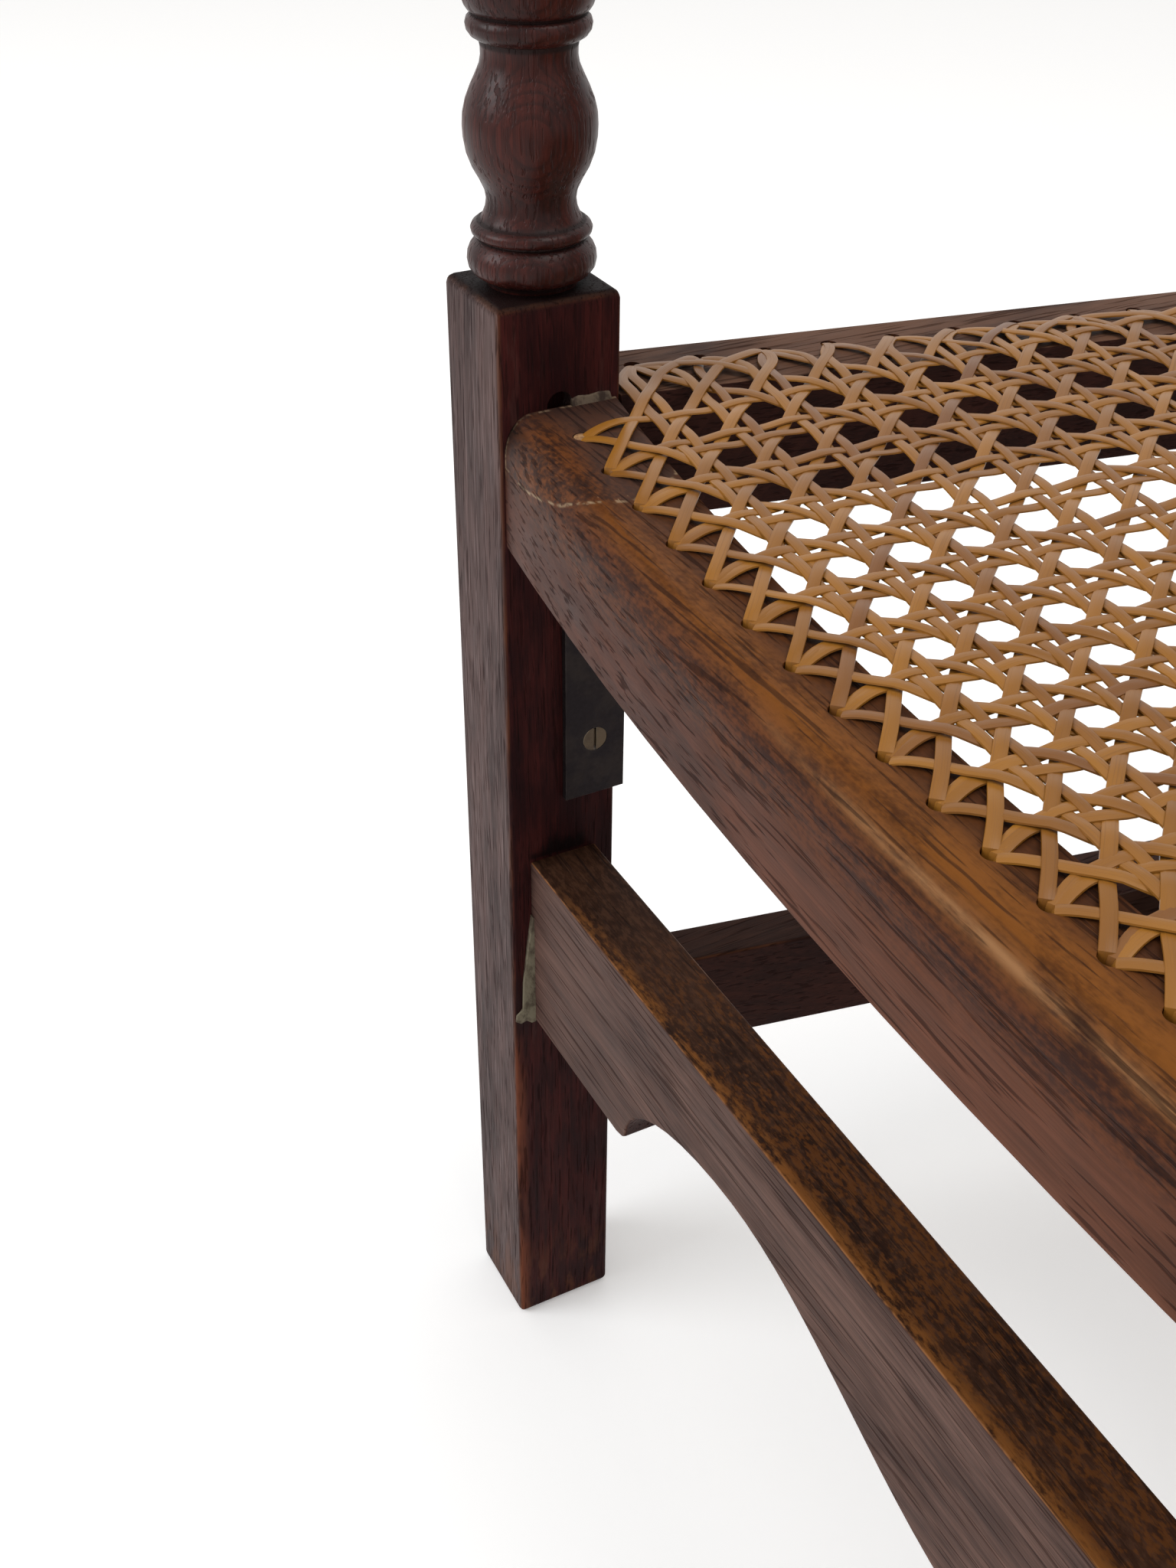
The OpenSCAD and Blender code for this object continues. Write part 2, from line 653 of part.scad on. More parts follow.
// Front stretcher: level beside the legs, an arch each side, deepest in the middle
module front_stretcher() {
    end_z = front_str_top - front_str_end_d;
    spring_z = end_z + front_str_step;
    crown_z = front_str_top - front_str_arch_d;
    mid_z = front_str_top - front_str_mid_d;
    rise = front_str_crown - front_str_foot_l - 2;
    fall = leg_in - front_str_crown;
    springing = [for (a = [0 : 9 : 90])
        [front_str_crown - rise * cos(a), spring_z + (crown_z - spring_z) * sin(a)]];
    falling = [for (i = [1 : 16])
        [front_str_crown + fall * i / 16,
            (crown_z + mid_z) / 2 + (crown_z - mid_z) / 2 * cos(180 * i / 16)]];
    half = concat([[0, end_z], [front_str_foot_l - 4, end_z], [front_str_foot_l, end_z + 1]],
        springing, falling);
    outline = concat([for (p = half) [p[0] - leg_in, p[1]]],
        [for (i = [len(half) - 2 : -1 : 0]) [leg_in - half[i][0], half[i][1]]],
        [[leg_in, front_str_top], [-leg_in, front_str_top]]);
    color(OAK_WORN) placed() union() {
        translate([0, front_str_inset + front_str_t, 0]) rotate([90, 0, 0])
            linear_extrude(front_str_t) polygon(outline);
        for (m = [0, 1]) mirror([m, 0, 0]) front_str_tenon();
    }
}

module side_stretcher(side) {
    slope = (leg_cx - post_cx) / (post_front(side_str_top) - leg_y);
    far_y = post_y + splay;
    half = plain_str_t / 2 * sqrt(1 + slope * slope);
    far_x = -leg_cx + (far_y - leg_y) * slope;
    color(OAK_MID) on_side(side) union() {
        difference() {
            translate([0, 0, side_str_top - plain_str_d]) linear_extrude(plain_str_d)
                polygon([[-leg_cx - half, leg_y], [-leg_cx + half, leg_y],
                    [far_x + half, far_y], [far_x - half, far_y]]);
            behind_posts();
        }
        side_str_front_tenon();
        side_str_rear_tenon();
    }
}

module rear_stretcher() {
    y = post_front(rear_str_top - plain_str_d / 2) + post_w / 2;
    color(OAK_MID) placed() union() {
        block([-post_in, y - plain_str_t / 2, rear_str_top - plain_str_d],
            [post_in, y + plain_str_t / 2, rear_str_top]);
        for (m = [0, 1]) mirror([m, 0, 0]) rear_str_tenon();
    }
}

// Arm: rounded in front of the support, narrower behind, bowed slightly outwards
module arm(side) {
    steps = 24;
    last_y = arm_end_y + arm_t;
    rounded = [for (a = [180 : 12 : 360])
        [-arm_cx(arm_round_y) + arm_front_r * cos(a), arm_round_y + arm_front_r * sin(a)]];
    edge = [for (i = [1 : steps]) arm_round_y + (last_y - arm_round_y) * i / steps];
    color(OAK_WORN) on_side(side) difference() {
        union() {
            difference() {
                translate([0, 0, arm_z]) linear_extrude(arm_t)
                    polygon(concat(rounded, [for (y = edge) [-arm_cx(y) + arm_half(y), y]],
                        [for (i = [steps - 1 : -1 : 0]) [-arm_cx(edge[i]) - arm_half(edge[i]), edge[i]]]));
                behind_posts();
            }
            arm_tenon();
        }
        support_tenon(glue_gap, end_gap);
    }
}

module crest_rail() {
    top = [for (i = [-12 : 12]) [post_in * i / 12, post_top + crest_rise * (0.5 + 0.5 * cos(15 * i))]];
    color(OAK_DARK) placed() difference() {
        union() {
            leaning() translate([0, back_inset + back_rail_t, 0]) rotate([90, 0, 0])
                linear_extrude(back_rail_t)
                    polygon(concat(top, [[post_in, crest_u], [-post_in, crest_u]]));
            for (m = [0, 1]) mirror([m, 0, 0]) crest_tenon();
        }
        back_holes();
        for (m = [0, 1]) mirror([m, 0, 0]) stile_tenons(glue_gap, end_gap);
    }
}

module lower_back_rail() {
    color(OAK_DARK) placed() difference() {
        union() {
            leaning() block([-post_in, back_inset, low_rail_u],
                [post_in, back_inset + back_rail_t, panel_u0]);
            for (m = [0, 1]) mirror([m, 0, 0]) low_rail_tenon();
        }
        back_holes();
        for (m = [0, 1]) mirror([m, 0, 0]) stile_tenons(glue_gap, end_gap);
    }
}

module back_stile(side) {
    color(OAK_DARK) on_side(side) difference() {
        union() {
            leaning() block([-panel_half - stile_w, back_inset, panel_u0],
                [-panel_half, back_inset + stile_t, crest_u]);
            stile_tenons();
        }
        back_holes();
    }
}

// Cane holes of the back, drilled square to it through rails and stiles
module back_hole_at(x, u, from, l) {
    leaning() translate([x, from, u]) rotate([-90, 0, 0]) cylinder(d = cane_hole_d, h = l);
}

module back_holes() {
    from = back_inset - 1;
    l = back_rail_t + 2;
    for (i = [-panel_holes_x : panel_holes_x], u = [panel_u0 - inner_hole_in, crest_u + inner_hole_in])
        back_hole_at(i * back_pitch, u, from, l);
    for (j = [-panel_holes_u : panel_holes_u], x = [-1, 1])
        back_hole_at(x * (panel_half + inner_hole_in), panel_mid_u + j * cane_row, from, l);
}

// Woven cane, drawn as a flat net. Each gap stands for a few small openings of
// the weave, and none comes nearer to a rail than net_land.
net_land = 4;
module gap_at(x, y) {
    translate([x, y]) rotate(22.5) circle(d = net_gap, $fn = 8);
}

function in_seat(x, y) =
    y - net_gap / 2 > inner_y(abs(x) + net_gap / 2) + net_land
    && y + net_gap / 2 < rear_rail_y - net_land
    && abs(x) + net_gap / 2 < side_x(y + net_gap / 2) - side_rail_x - net_land;

module cane_seat() {
    front = hole_x(front_holes) + cane_margin;
    side_margin = side_hole_in - cane_margin;
    half = concat(
        [for (i = [0 : 8]) [front * i / 8, front_hole_y(front * i / 8) - cane_margin]],
        [[leg_in - 2, leg_y + 2], [side_x(leg_y + 2) - side_margin, leg_y + 2],
            [side_x(post_y - 2) - side_margin, post_y - 2], [post_in - 2, post_y - 2],
            [post_in - 2, rear_hole_y + cane_margin]]);
    columns = ceil(leg_in / net_pitch);
    rows = ceil(frame_d / net_pitch);
    color(CANE) placed() translate([0, 0, seat_h]) linear_extrude(cane_t) difference() {
        polygon(concat(half, [for (i = [len(half) - 1 : -1 : 1]) [-half[i][0], half[i][1]]]));
        for (i = [-columns : columns], j = [0 : rows])
            let (x = i * net_pitch, y = brace_y0 + net_gap / 2 + net_land + 1 + j * net_pitch)
                if (in_seat(x, y)) gap_at(x, y);
    }
}

module cane_back() {
    half_w = panel_half + inner_hole_in + cane_margin;
    half_u = (crest_u - panel_u0) / 2 + inner_hole_in + cane_margin;
    columns = floor((panel_half - net_gap / 2 - net_land) / net_pitch);
    rows = floor(((crest_u - panel_u0) / 2 - net_gap / 2 - net_land) / net_pitch);
    color(CANE) placed() leaning() translate([0, back_inset, panel_mid_u]) rotate([90, 0, 0])
        linear_extrude(cane_t) difference() {
            square([2 * half_w, 2 * half_u], center = true);
            for (i = [-columns : columns], j = [-rows : rows])
                gap_at(i * net_pitch, j * net_pitch);
        }
}

// Pegs that hold the cane in the corner holes
module cane_peg(l) {
    cylinder(d = cane_hole_d - 2 * glue_gap, h = l);
}

module seat_cane_pegs() {
    color(PEG) placed() for (m = [0, 1]) mirror([m, 0, 0]) {
        translate([hole_x(front_holes), front_hole_y(hole_x(front_holes)), seat_h - cane_peg_l])
            cane_peg(cane_peg_l);
        translate([hole_x(rear_holes), rear_hole_y, seat_h - cane_peg_l])
            cane_peg(cane_peg_l);
    }
}

module back_cane_pegs() {
    l = min(cane_peg_l, stile_t) - 2;
    color(PEG) placed() leaning()
        for (x = [-1, 1], u = [panel_u0 - inner_hole_in, crest_u + inner_hole_in])
            translate([x * panel_holes_x * back_pitch, back_inset, u]) rotate([-90, 0, 0])
                cane_peg(l);
}

module angle_bracket(side) {
    color(STEEL) on_side(side) difference() {
        union() {
            block([-leg_in, bracket_y, bracket_low],
                [-leg_in + bracket_t, bracket_y + bracket_w, rail_z]);
            block([-leg_in, bracket_y, rail_z - bracket_t],
                [-leg_in + bracket_run, bracket_y + bracket_w, rail_z]);
        }
        at_bracket_screws() screw_body(glue_gap);
    }
}

module bracket_screws() {
    slot_w = screw_head_d / 9;
    color(SCREW) placed() for (m = [0, 1]) mirror([m, 0, 0]) at_bracket_screws() difference() {
        screw_body();
        translate([-screw_head_d, -slot_w / 2, -screw_head_h / 2])
            cube([2 * screw_head_d, slot_w, screw_head_h]);
    }
}

front_leg(LEFT);  // front_leg_left
front_leg(RIGHT);  // front_leg_right
back_post(LEFT);  // back_post_left
back_post(RIGHT);  // back_post_right
front_seat_rail();
side_seat_rail(LEFT);  // side_seat_rail_left
side_seat_rail(RIGHT);  // side_seat_rail_right
rear_seat_rail();
seat_brace();
front_stretcher();
side_stretcher(LEFT);  // side_stretcher_left
side_stretcher(RIGHT);  // side_stretcher_right
rear_stretcher();
arm(LEFT);  // arm_left
arm(RIGHT);  // arm_right
crest_rail();
lower_back_rail();
back_stile(LEFT);  // back_stile_left
back_stile(RIGHT);  // back_stile_right
cane_seat();
cane_back();
seat_cane_pegs();
back_cane_pegs();
angle_bracket(LEFT);  // angle_bracket_left
angle_bracket(RIGHT);  // angle_bracket_right
bracket_screws();
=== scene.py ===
import math
import random

import bpy
from mathutils import Matrix, Vector


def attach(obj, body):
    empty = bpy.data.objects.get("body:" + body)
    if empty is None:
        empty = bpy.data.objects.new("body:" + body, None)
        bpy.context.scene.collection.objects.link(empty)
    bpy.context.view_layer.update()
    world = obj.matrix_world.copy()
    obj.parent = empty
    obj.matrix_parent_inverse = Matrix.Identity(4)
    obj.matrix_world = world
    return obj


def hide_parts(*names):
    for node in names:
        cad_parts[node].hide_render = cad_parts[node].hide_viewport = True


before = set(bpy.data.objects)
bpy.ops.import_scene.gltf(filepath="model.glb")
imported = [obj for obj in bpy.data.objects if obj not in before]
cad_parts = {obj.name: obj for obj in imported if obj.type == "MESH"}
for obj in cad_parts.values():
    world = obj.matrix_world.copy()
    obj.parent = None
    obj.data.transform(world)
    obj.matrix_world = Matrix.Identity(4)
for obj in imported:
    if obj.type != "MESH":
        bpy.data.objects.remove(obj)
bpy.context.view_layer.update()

# Camera. It stands close to the chair's front, at the height of the arms, and looks down
# across the front rail to the left front leg. Directions are read off the chair's own lines.
MM = 0.001


def add_object(name, data):
    added = bpy.data.objects.new(name, data)
    bpy.context.scene.collection.objects.link(added)
    return added


camera_place = Vector((0.1785, -0.5009, 0.6164))
heading = Vector((-0.887, 0.4617, 0)).normalized()
level_right = Vector((0.4617, 0.887, 0)).normalized()
pitch_down = math.radians(35)
roll = math.radians(0.33)
look = math.cos(pitch_down) * heading - math.sin(pitch_down) * Vector((0, 0, 1))
level_up = math.sin(pitch_down) * heading + math.cos(pitch_down) * Vector((0, 0, 1))
right = math.cos(roll) * level_right + math.sin(roll) * level_up
up = math.cos(roll) * level_up - math.sin(roll) * level_right
camera_data = bpy.data.cameras.new("camera")
camera_data.sensor_fit = "VERTICAL"
camera_data.sensor_height = 36
camera_data.lens = 41.23
camera_data.clip_start = 0.02
camera = add_object("camera", camera_data)
camera.matrix_world = Matrix((right, up, -look)).transposed().to_4x4()
camera.matrix_world.translation = camera_place
bpy.context.scene.camera = camera
bpy.context.scene.view_settings.view_transform = "Standard"


# Studio. A pale floor under a white surround, even soft light from all sides, a large soft lamp in
# front of the chair, which gives the front faces a sheen that the oak's front tones add to as painted
# sheen, and a weaker one overhead.
def paint(r, g, b):
    """A colour as it looks on screen, 0 to 255, as the linear colour that a material takes."""
    linear = [c / 255 / 12.92 if c <= 10 else ((c / 255 + 0.055) / 1.055) ** 2.4 for c in (r, g, b)]
    return (*linear, 1)


BLACK = (0, 0, 0, 1)


class Signal:
    """A number that varies over a surface. Arithmetic on it adds Math nodes."""

    def __init__(self, finish, socket):
        self.finish = finish
        self.socket = socket

    def math(self, operation, *others):
        return self.finish.node("Math", {"operation": operation}, [self, *others])

    def __add__(self, other):
        return self.math("ADD", other)

    __radd__ = __add__

    def __sub__(self, other):
        return self.math("SUBTRACT", other)

    def __rsub__(self, other):
        return self.finish.node("Math", {"operation": "SUBTRACT"}, [other, self])

    def __mul__(self, other):
        return self.math("MULTIPLY", other)

    __rmul__ = __mul__

    def __truediv__(self, other):
        return self.math("DIVIDE", other)

    def __abs__(self):
        return self.math("ABSOLUTE")

    def __pow__(self, power):
        return self.math("POWER", power)

    def at_least(self, other):
        return self.math("MAXIMUM", other)

    def rise(self, low, high):
        """0 below low, 1 above high, with a smooth step between. A high below low falls."""
        settings = {"interpolation_type": "SMOOTHSTEP"}
        if high < low:
            return 1 - self.rise(high, low)
        return self.finish.node("MapRange", settings, {"Value": self, "From Min": low, "From Max": high})

    def bump_at(self, centre, width):
        """A soft band, 1 at centre and 0 beyond width on both sides."""
        return abs(self - centre).rise(width, 0)


class Finish:
    """The nodes of one material, the shader that they feed, and in colour the layers laid so far."""

    def __init__(self, name, **fixed):
        self.material = bpy.data.materials.new(name)
        self.material.use_nodes = True
        self.tree = self.material.node_tree
        self.shader = self.tree.nodes["Principled BSDF"]
        for socket, value in fixed.items():
            self.shader.inputs[socket.replace("_", " ")].default_value = value
        place = self.tree.nodes.new("ShaderNodeTexCoord")
        self.place = place.outputs["Object"]
        self.normal = place.outputs["Normal"]
        self.uv = place.outputs["UV"]
        self.colour = BLACK

    def node(self, kind, settings, values, output=0):
        """Adds a node, sets it up, and sets or links its sockets, which are given by name or in order."""
        node = self.tree.nodes.new("ShaderNode" + kind)
        for key, value in settings.items():
            setattr(node, key, value)
        pairs = values.items() if isinstance(values, dict) else enumerate(values)
        for key, value in pairs:
            if isinstance(value, Signal):
                value = value.socket
            if isinstance(value, bpy.types.NodeSocket):
                self.tree.links.new(value, node.inputs[key])
            else:
                node.inputs[key].default_value = value
        return Signal(self, node.outputs[output])

    def split(self, vector):
        first = self.node("SeparateXYZ", {}, [vector])
        return [Signal(self, socket) for socket in first.socket.node.outputs]

    def noise(self, x, y, z, detail=2, roughness=0.5):
        """Cloudy noise. Each direction is given in counts of clouds, so that they can be drawn out."""
        place = self.node("CombineXYZ", {}, [x, y, z])
        return self.node("TexNoise", {}, {"Vector": place, "Scale": 1, "Detail": detail,
                                          "Roughness": roughness})

    def mix(self, share, under, over):
        """One colour laid over another. Either may be a socket or a fixed colour."""
        return self.node("Mix", {"data_type": "RGBA"}, {0: share, 6: under, 7: over}, output=2).socket

    def lay(self, share, over):
        self.colour = self.mix(share, self.colour, over)

    def coat(self, share, *tone):
        """A layer of one tone, 0 to 255."""
        self.lay(share, paint(*tone))

    def feed(self, socket, value):
        value = value.socket if isinstance(value, Signal) else value
        self.tree.links.new(value, self.shader.inputs[socket])

    def finished(self, height, distance, strength, roughness=None):
        """The material, with its layers, and height as a bump, where 1 stands distance metres proud."""
        bump = self.node("Bump", {}, {"Height": height, "Distance": distance, "Strength": strength})
        self.feed("Normal", bump)
        self.feed("Base Color", self.colour)
        if roughness:
            self.feed("Roughness", roughness)
        return self.material


def add_lamp(name, place, aim, size, power, colour):
    light = bpy.data.lights.new(name, "AREA")
    light.shape = "DISK"
    light.size = size
    light.energy = power
    light.color = colour
    lamp = add_object(name, light)
    lamp.location = place
    lamp.rotation_euler = (Vector(aim) - Vector(place)).to_track_quat("-Z", "Y").to_euler()


def in_view(tree):
    """1 for what the camera sees straight, mirrored or through glass, and 0 for what only lights."""
    rays = tree.nodes.new("ShaderNodeLightPath").outputs
    seen = rays["Is Camera Ray"]
    for kind in ["Is Glossy Ray", "Is Transmission Ray"]:
        either = tree.nodes.new("ShaderNodeMath")
        either.operation = "MAXIMUM"
        tree.links.new(seen, either.inputs[0])
        tree.links.new(rays[kind], either.inputs[1])
        seen = either.outputs[0]
    return seen


SKY_LEVEL = 0.62
WARM = (1, 0.985, 0.965, 1)
PALE = (0.93, 0.93, 0.93, 1)
WHITE = (1, 1, 1, 1)
world = bpy.data.worlds.new("studio")
world.use_nodes = True
bpy.context.scene.world = world
sky = world.node_tree
lit = sky.nodes["Background"]
lit.inputs["Color"].default_value = WARM
lit.inputs["Strength"].default_value = SKY_LEVEL
backdrop = sky.nodes.new("ShaderNodeBackground")
backdrop.inputs["Color"].default_value = WHITE
backdrop.inputs["Strength"].default_value = 1
blend = sky.nodes.new("ShaderNodeMixShader")
sky.links.new(in_view(sky), blend.inputs[0])
sky.links.new(lit.outputs[0], blend.inputs[1])
sky.links.new(backdrop.outputs[0], blend.inputs[2])
sky.links.new(blend.outputs[0], sky.nodes["World Output"].inputs["Surface"])

add_lamp("window", (-0.9, -2.6, 1.9), (0, 0, 0.3), 1.8, 48, (0.96, 0.98, 1))
add_lamp("overhead", (0.5, 0.3, 2.6), (0, -0.1, 0.3), 1.6, 22, (1, 0.97, 0.93))

bpy.ops.mesh.primitive_plane_add(size=30, location=(0, 0, -0.0004))
floor = bpy.context.object
floor.name = "floor"
floor_finish = Finish("pale_floor", Base_Color=PALE, Roughness=0.9, Specular_IOR_Level=0.1,
                      Emission_Strength=0.24)
floor_finish.feed("Emission Color", floor_finish.mix(in_view(floor_finish.tree), BLACK, WHITE))
floor.data.materials.append(floor_finish.material)


# Front legs. Each is one length of oak: a square leg with a block where the seat rails enter,
# and above it the support of the arm, turned with a torus, bead, vase, ring and ball.
LEG_FRONT = -297.75 * MM
HALF_INSIDE = 269.5
LEG_IN = HALF_INSIDE * MM
LEG_OUT = 306.5 * MM
LEG_DEPTH = 40.5 * MM
LEG_ARRIS = 2.8 * MM
LEG_END = 5 * MM
BLOCK_TOP = 435 * MM
SUPPORT_LENGTH = 187
STRETCHER_INSET = 8
STRETCHER_TOP = 236.5 * MM
STRETCHER_FOOT = 165 * MM
RIM_TORUS = [(0, 13.4), (1.2, 13.6), (2, 14.6), (2.6, 16), (3.6, 17.4), (5.2, 18.6), (7.2, 19), (9.2, 18.8),
             (10.9, 18.1), (12.2, 17.1), (13, 16.3), (13.5, 15.5), (13.9, 15.5), (14.3, 16.7), (15, 17.5),
             (16.1, 17.75), (17.1, 17.3), (17.9, 16.3), (18.3, 15.2), (18.7, 14.7)]
HALF_SUPPORT = RIM_TORUS + [
    (20, 14.1), (22, 13.3), (24.4, 12.95), (27, 13.4), (30, 14.8), (33.5, 16.8), (37.5, 18.3),
    (41.5, 19), (44.8, 19.15), (48, 18.95), (51.5, 18.1), (55, 16.7), (58.5, 15), (61, 13.9),
    (63.3, 13.5), (65.5, 13.55), (67.3, 13.9), (67.8, 14.9), (68.6, 16.2), (70, 17.2), (71.6, 17.5),
    (73, 17.1), (73.8, 16.3), (74.2, 15.7), (74.6, 15.8), (75.2, 16.9), (76.4, 17.7), (78.5, 18.5),
    (81.5, 19.1), (85.5, 19.7), (89.5, 19.95), (93.5, 20)]

OAK = (66, 42, 38), (44, 25, 24)
PORE = paint(24, 13, 12)


def squareness(nx, ny, nz):
    """1 on a face that looks along an axis, and less on an arris."""
    return abs(nx).at_least(abs(ny)).at_least(abs(nz))


def oak(name, along, pith=(0.05, 0.09), turn=0, front=OAK, side=OAK, top=OAK, wear=0.6,
        gloss=0.52, sheen=0.06, pore=(38, 900), pore_depth=0.5, details=None):
    """Stained oak with its grain along X, Y or Z. Each of front, side and top is a light and a dark
    tone, which a face takes by the way it looks: lit and shaded copies of the stain, so that front
    faces can carry a painted sheen and side faces painted shade. Year rings lie round a pith at an
    offset from the chair's middle, so long faces show cathedrals and turnings show ovals."""
    finish = Finish(name, Specular_IOR_Level=sheen)
    place = finish.place
    if turn:
        place = finish.node("Mapping", {}, {"Vector": place, "Rotation": (turn, 0, 0)}).socket
    x, y, z = finish.split(place)
    grain, a, b = {"X": (x, y, z), "Y": (y, x, z), "Z": (z, x, y)}[along]
    sway = finish.noise(grain * 5, a * 9, b * 9, detail=1) - 0.5
    sway_b = finish.noise(grain * 5 + 7, b * 9, a * 9, detail=1) - 0.5
    wide, deep = a + sway * 0.012 - pith[0], b + sway_b * 0.012 - pith[1]
    ring = (wide * wide + deep * deep) ** 0.5 * 290
    ring = ring + finish.noise(grain * 9, a * 60, b * 60) * 0.7
    year = ring.math("FRACT")
    early = year.rise(0.0, 0.12) * year.rise(0.55, 0.2)
    streak = finish.noise(grain * pore[0], wide * pore[1], deep * pore[1])
    line = finish.noise(grain * 14, wide * 1900, deep * 1900)
    pores = (streak + early * 0.07).rise(0.575, 0.68)
    cloud = finish.noise(grain * 14, a * 48, b * 48, detail=4, roughness=0.6)
    blotch = finish.noise(grain * 40, a * 130, b * 130, detail=4, roughness=0.62)

    nx, ny, nz = finish.split(finish.normal)
    upward = nz.rise(0.45, 0.9)
    frontward = abs(ny).rise(0.55, 0.92)
    tone = (cloud * 0.5 + blotch * 0.25 + line * 0.25).rise(0.38, 0.62)
    # Colour by facing: painted light and shade, with front and back faces against side faces and tops.
    on_side, on_front, on_top = [finish.mix(tone, paint(*dark), paint(*light))
                                 for light, dark in (side, front, top)]
    finish.colour = finish.mix(upward, finish.mix(frontward, on_side, on_front), on_top)
    finish.lay(year.rise(0.15, 0.95) * 0.25, PORE)
    arris = squareness(nx, ny, nz).rise(0.97, 0.84) * (blotch * 0.5 + cloud * 0.5).rise(0.38, 0.58) * wear
    finish.coat(arris, 124, 76, 44)
    gloss_map = gloss + pores * 0.25 + (blotch - 0.5) * 0.3
    if details:
        gloss_map = details(finish, gloss_map, (x, y, z), (nx, ny, nz), (cloud, blotch, streak))
    finish.lay(pores * pore_depth, PORE)
    return finish.finished(blotch * 0.35 + line * 0.15 - pores * 0.6, 0.0004, 0.6, gloss_map)


def settle(piece, name, material, node):
    """Gives a finished piece its name, finish and body, and hides the CAD node that it stands for."""
    piece.name = name
    piece.data.name = name
    if material:
        piece.data.materials.clear()
        piece.data.materials.append(material)
    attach(piece, "root")
    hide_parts(node)


def take_up(*pieces):
    """Selects these pieces and no others, with the first of them active."""
    bpy.ops.object.select_all(action="DESELECT")
    for piece in pieces:
        piece.select_set(True)
    bpy.context.view_layer.objects.active = pieces[0]


def open_up(piece):
    """Edit mode, with the whole of the piece selected."""
    take_up(piece)
    bpy.ops.object.mode_set(mode="EDIT")
    bpy.ops.mesh.select_all(action="SELECT")


def close_up():
    bpy.ops.object.mode_set(mode="OBJECT")


def apply_modifiers(piece):
    take_up(piece)
    for modifier in list(piece.modifiers):
        bpy.ops.object.modifier_apply(modifier=modifier.name)


def round_over(piece, radius, segments=3, joint=lambda at: False, sharper_than=28):
    """Rounds a piece's arrises, but for those at its joints, which stay tight to their neighbour.
    joint gives how far an arris is spared: True keeps it sharp, and a half halves the radius."""
    open_up(piece)
    bpy.ops.mesh.select_mode(type="EDGE")
    bpy.ops.mesh.select_all(action="DESELECT")
    bpy.ops.mesh.edges_select_sharp(sharpness=math.radians(sharper_than))
    close_up()
    mesh = piece.data
    weights = mesh.attributes.new("bevel_weight_edge", "FLOAT", "EDGE")
    for edge in mesh.edges:
        ends = [mesh.vertices[v].co for v in edge.vertices]
        if edge.select:
            weights.data[edge.index].value = 1 - joint((ends[0] + ends[1]) / 2)
    bevel = piece.modifiers.new("arrises", "BEVEL")
    bevel.limit_method = "WEIGHT"
    bevel.width = radius
    bevel.segments = segments
    apply_modifiers(piece)
    bpy.ops.object.shade_smooth_by_angle(angle=math.radians(42))
    weighted = piece.modifiers.new("flat_faces", "WEIGHTED_NORMAL")
    weighted.keep_sharp = True
    weighted.weight = 80
    apply_modifiers(piece)


def block(low, high):
    """A squared length of wood between two corners."""
    low, high = Vector(low), Vector(high)
    bpy.ops.mesh.primitive_cube_add(size=1, location=(low + high) / 2, scale=high - low)
    piece = bpy.context.object
    bpy.ops.object.transform_apply()
    return piece


def turn_on_lathe(rings, sides=64):
    """A turning about Z: a circle drawn up and drawn in from ring to ring, closed at both ends.
    Each ring is a height and a radius in mm. The groove attribute says how far a ring lies inside
    the line between its neighbours."""
    rings = [(height * MM, radius * MM) for height, radius in rings]
    height, radius = rings[0]
    bpy.ops.mesh.primitive_circle_add(vertices=sides, radius=radius, fill_type="NGON",
                                      location=(0, 0, height))
    piece = bpy.context.object
    bpy.ops.object.transform_apply()
    open_up(piece)
    for next_height, next_radius in rings[1:]:
        bpy.ops.mesh.extrude_region_move(
            TRANSFORM_OT_translate={"value": (0, 0, next_height - height)})
        ratio = next_radius / radius
        bpy.ops.transform.resize(value=(ratio, ratio, 1), center_override=(0, 0, next_height))
        height, radius = next_height, next_radius
    bpy.ops.mesh.select_all(action="SELECT")
    bpy.ops.mesh.normals_make_consistent(inside=False)
    close_up()
    hollow = {}
    for (low, before), (middle, radius), (high, after) in zip(rings, rings[1:], rings[2:]):
        chord = before + (after - before) * (middle - low) / (high - low)
        hollow[round(middle, 6)] = max(0, (chord - radius) / (high - low))
    groove = piece.data.attributes.new("groove", "FLOAT", "POINT")
    groove.data.foreach_set("value", [hollow.get(round(v.co.z, 6), 0) for v in piece.data.vertices])
    bpy.ops.object.shade_smooth_by_angle(angle=math.radians(50))
    return piece


def mirrored_rings(half, length):
    return half + [(length - height, radius) for height, radius in reversed(half[:-1])]


def join(pieces):
    """Makes one piece of several. It keeps the first one's name and place."""
    take_up(*pieces)
    bpy.ops.object.join()
    return pieces[0]


def moved(piece, matrix):
    piece.data.transform(matrix)
    return piece


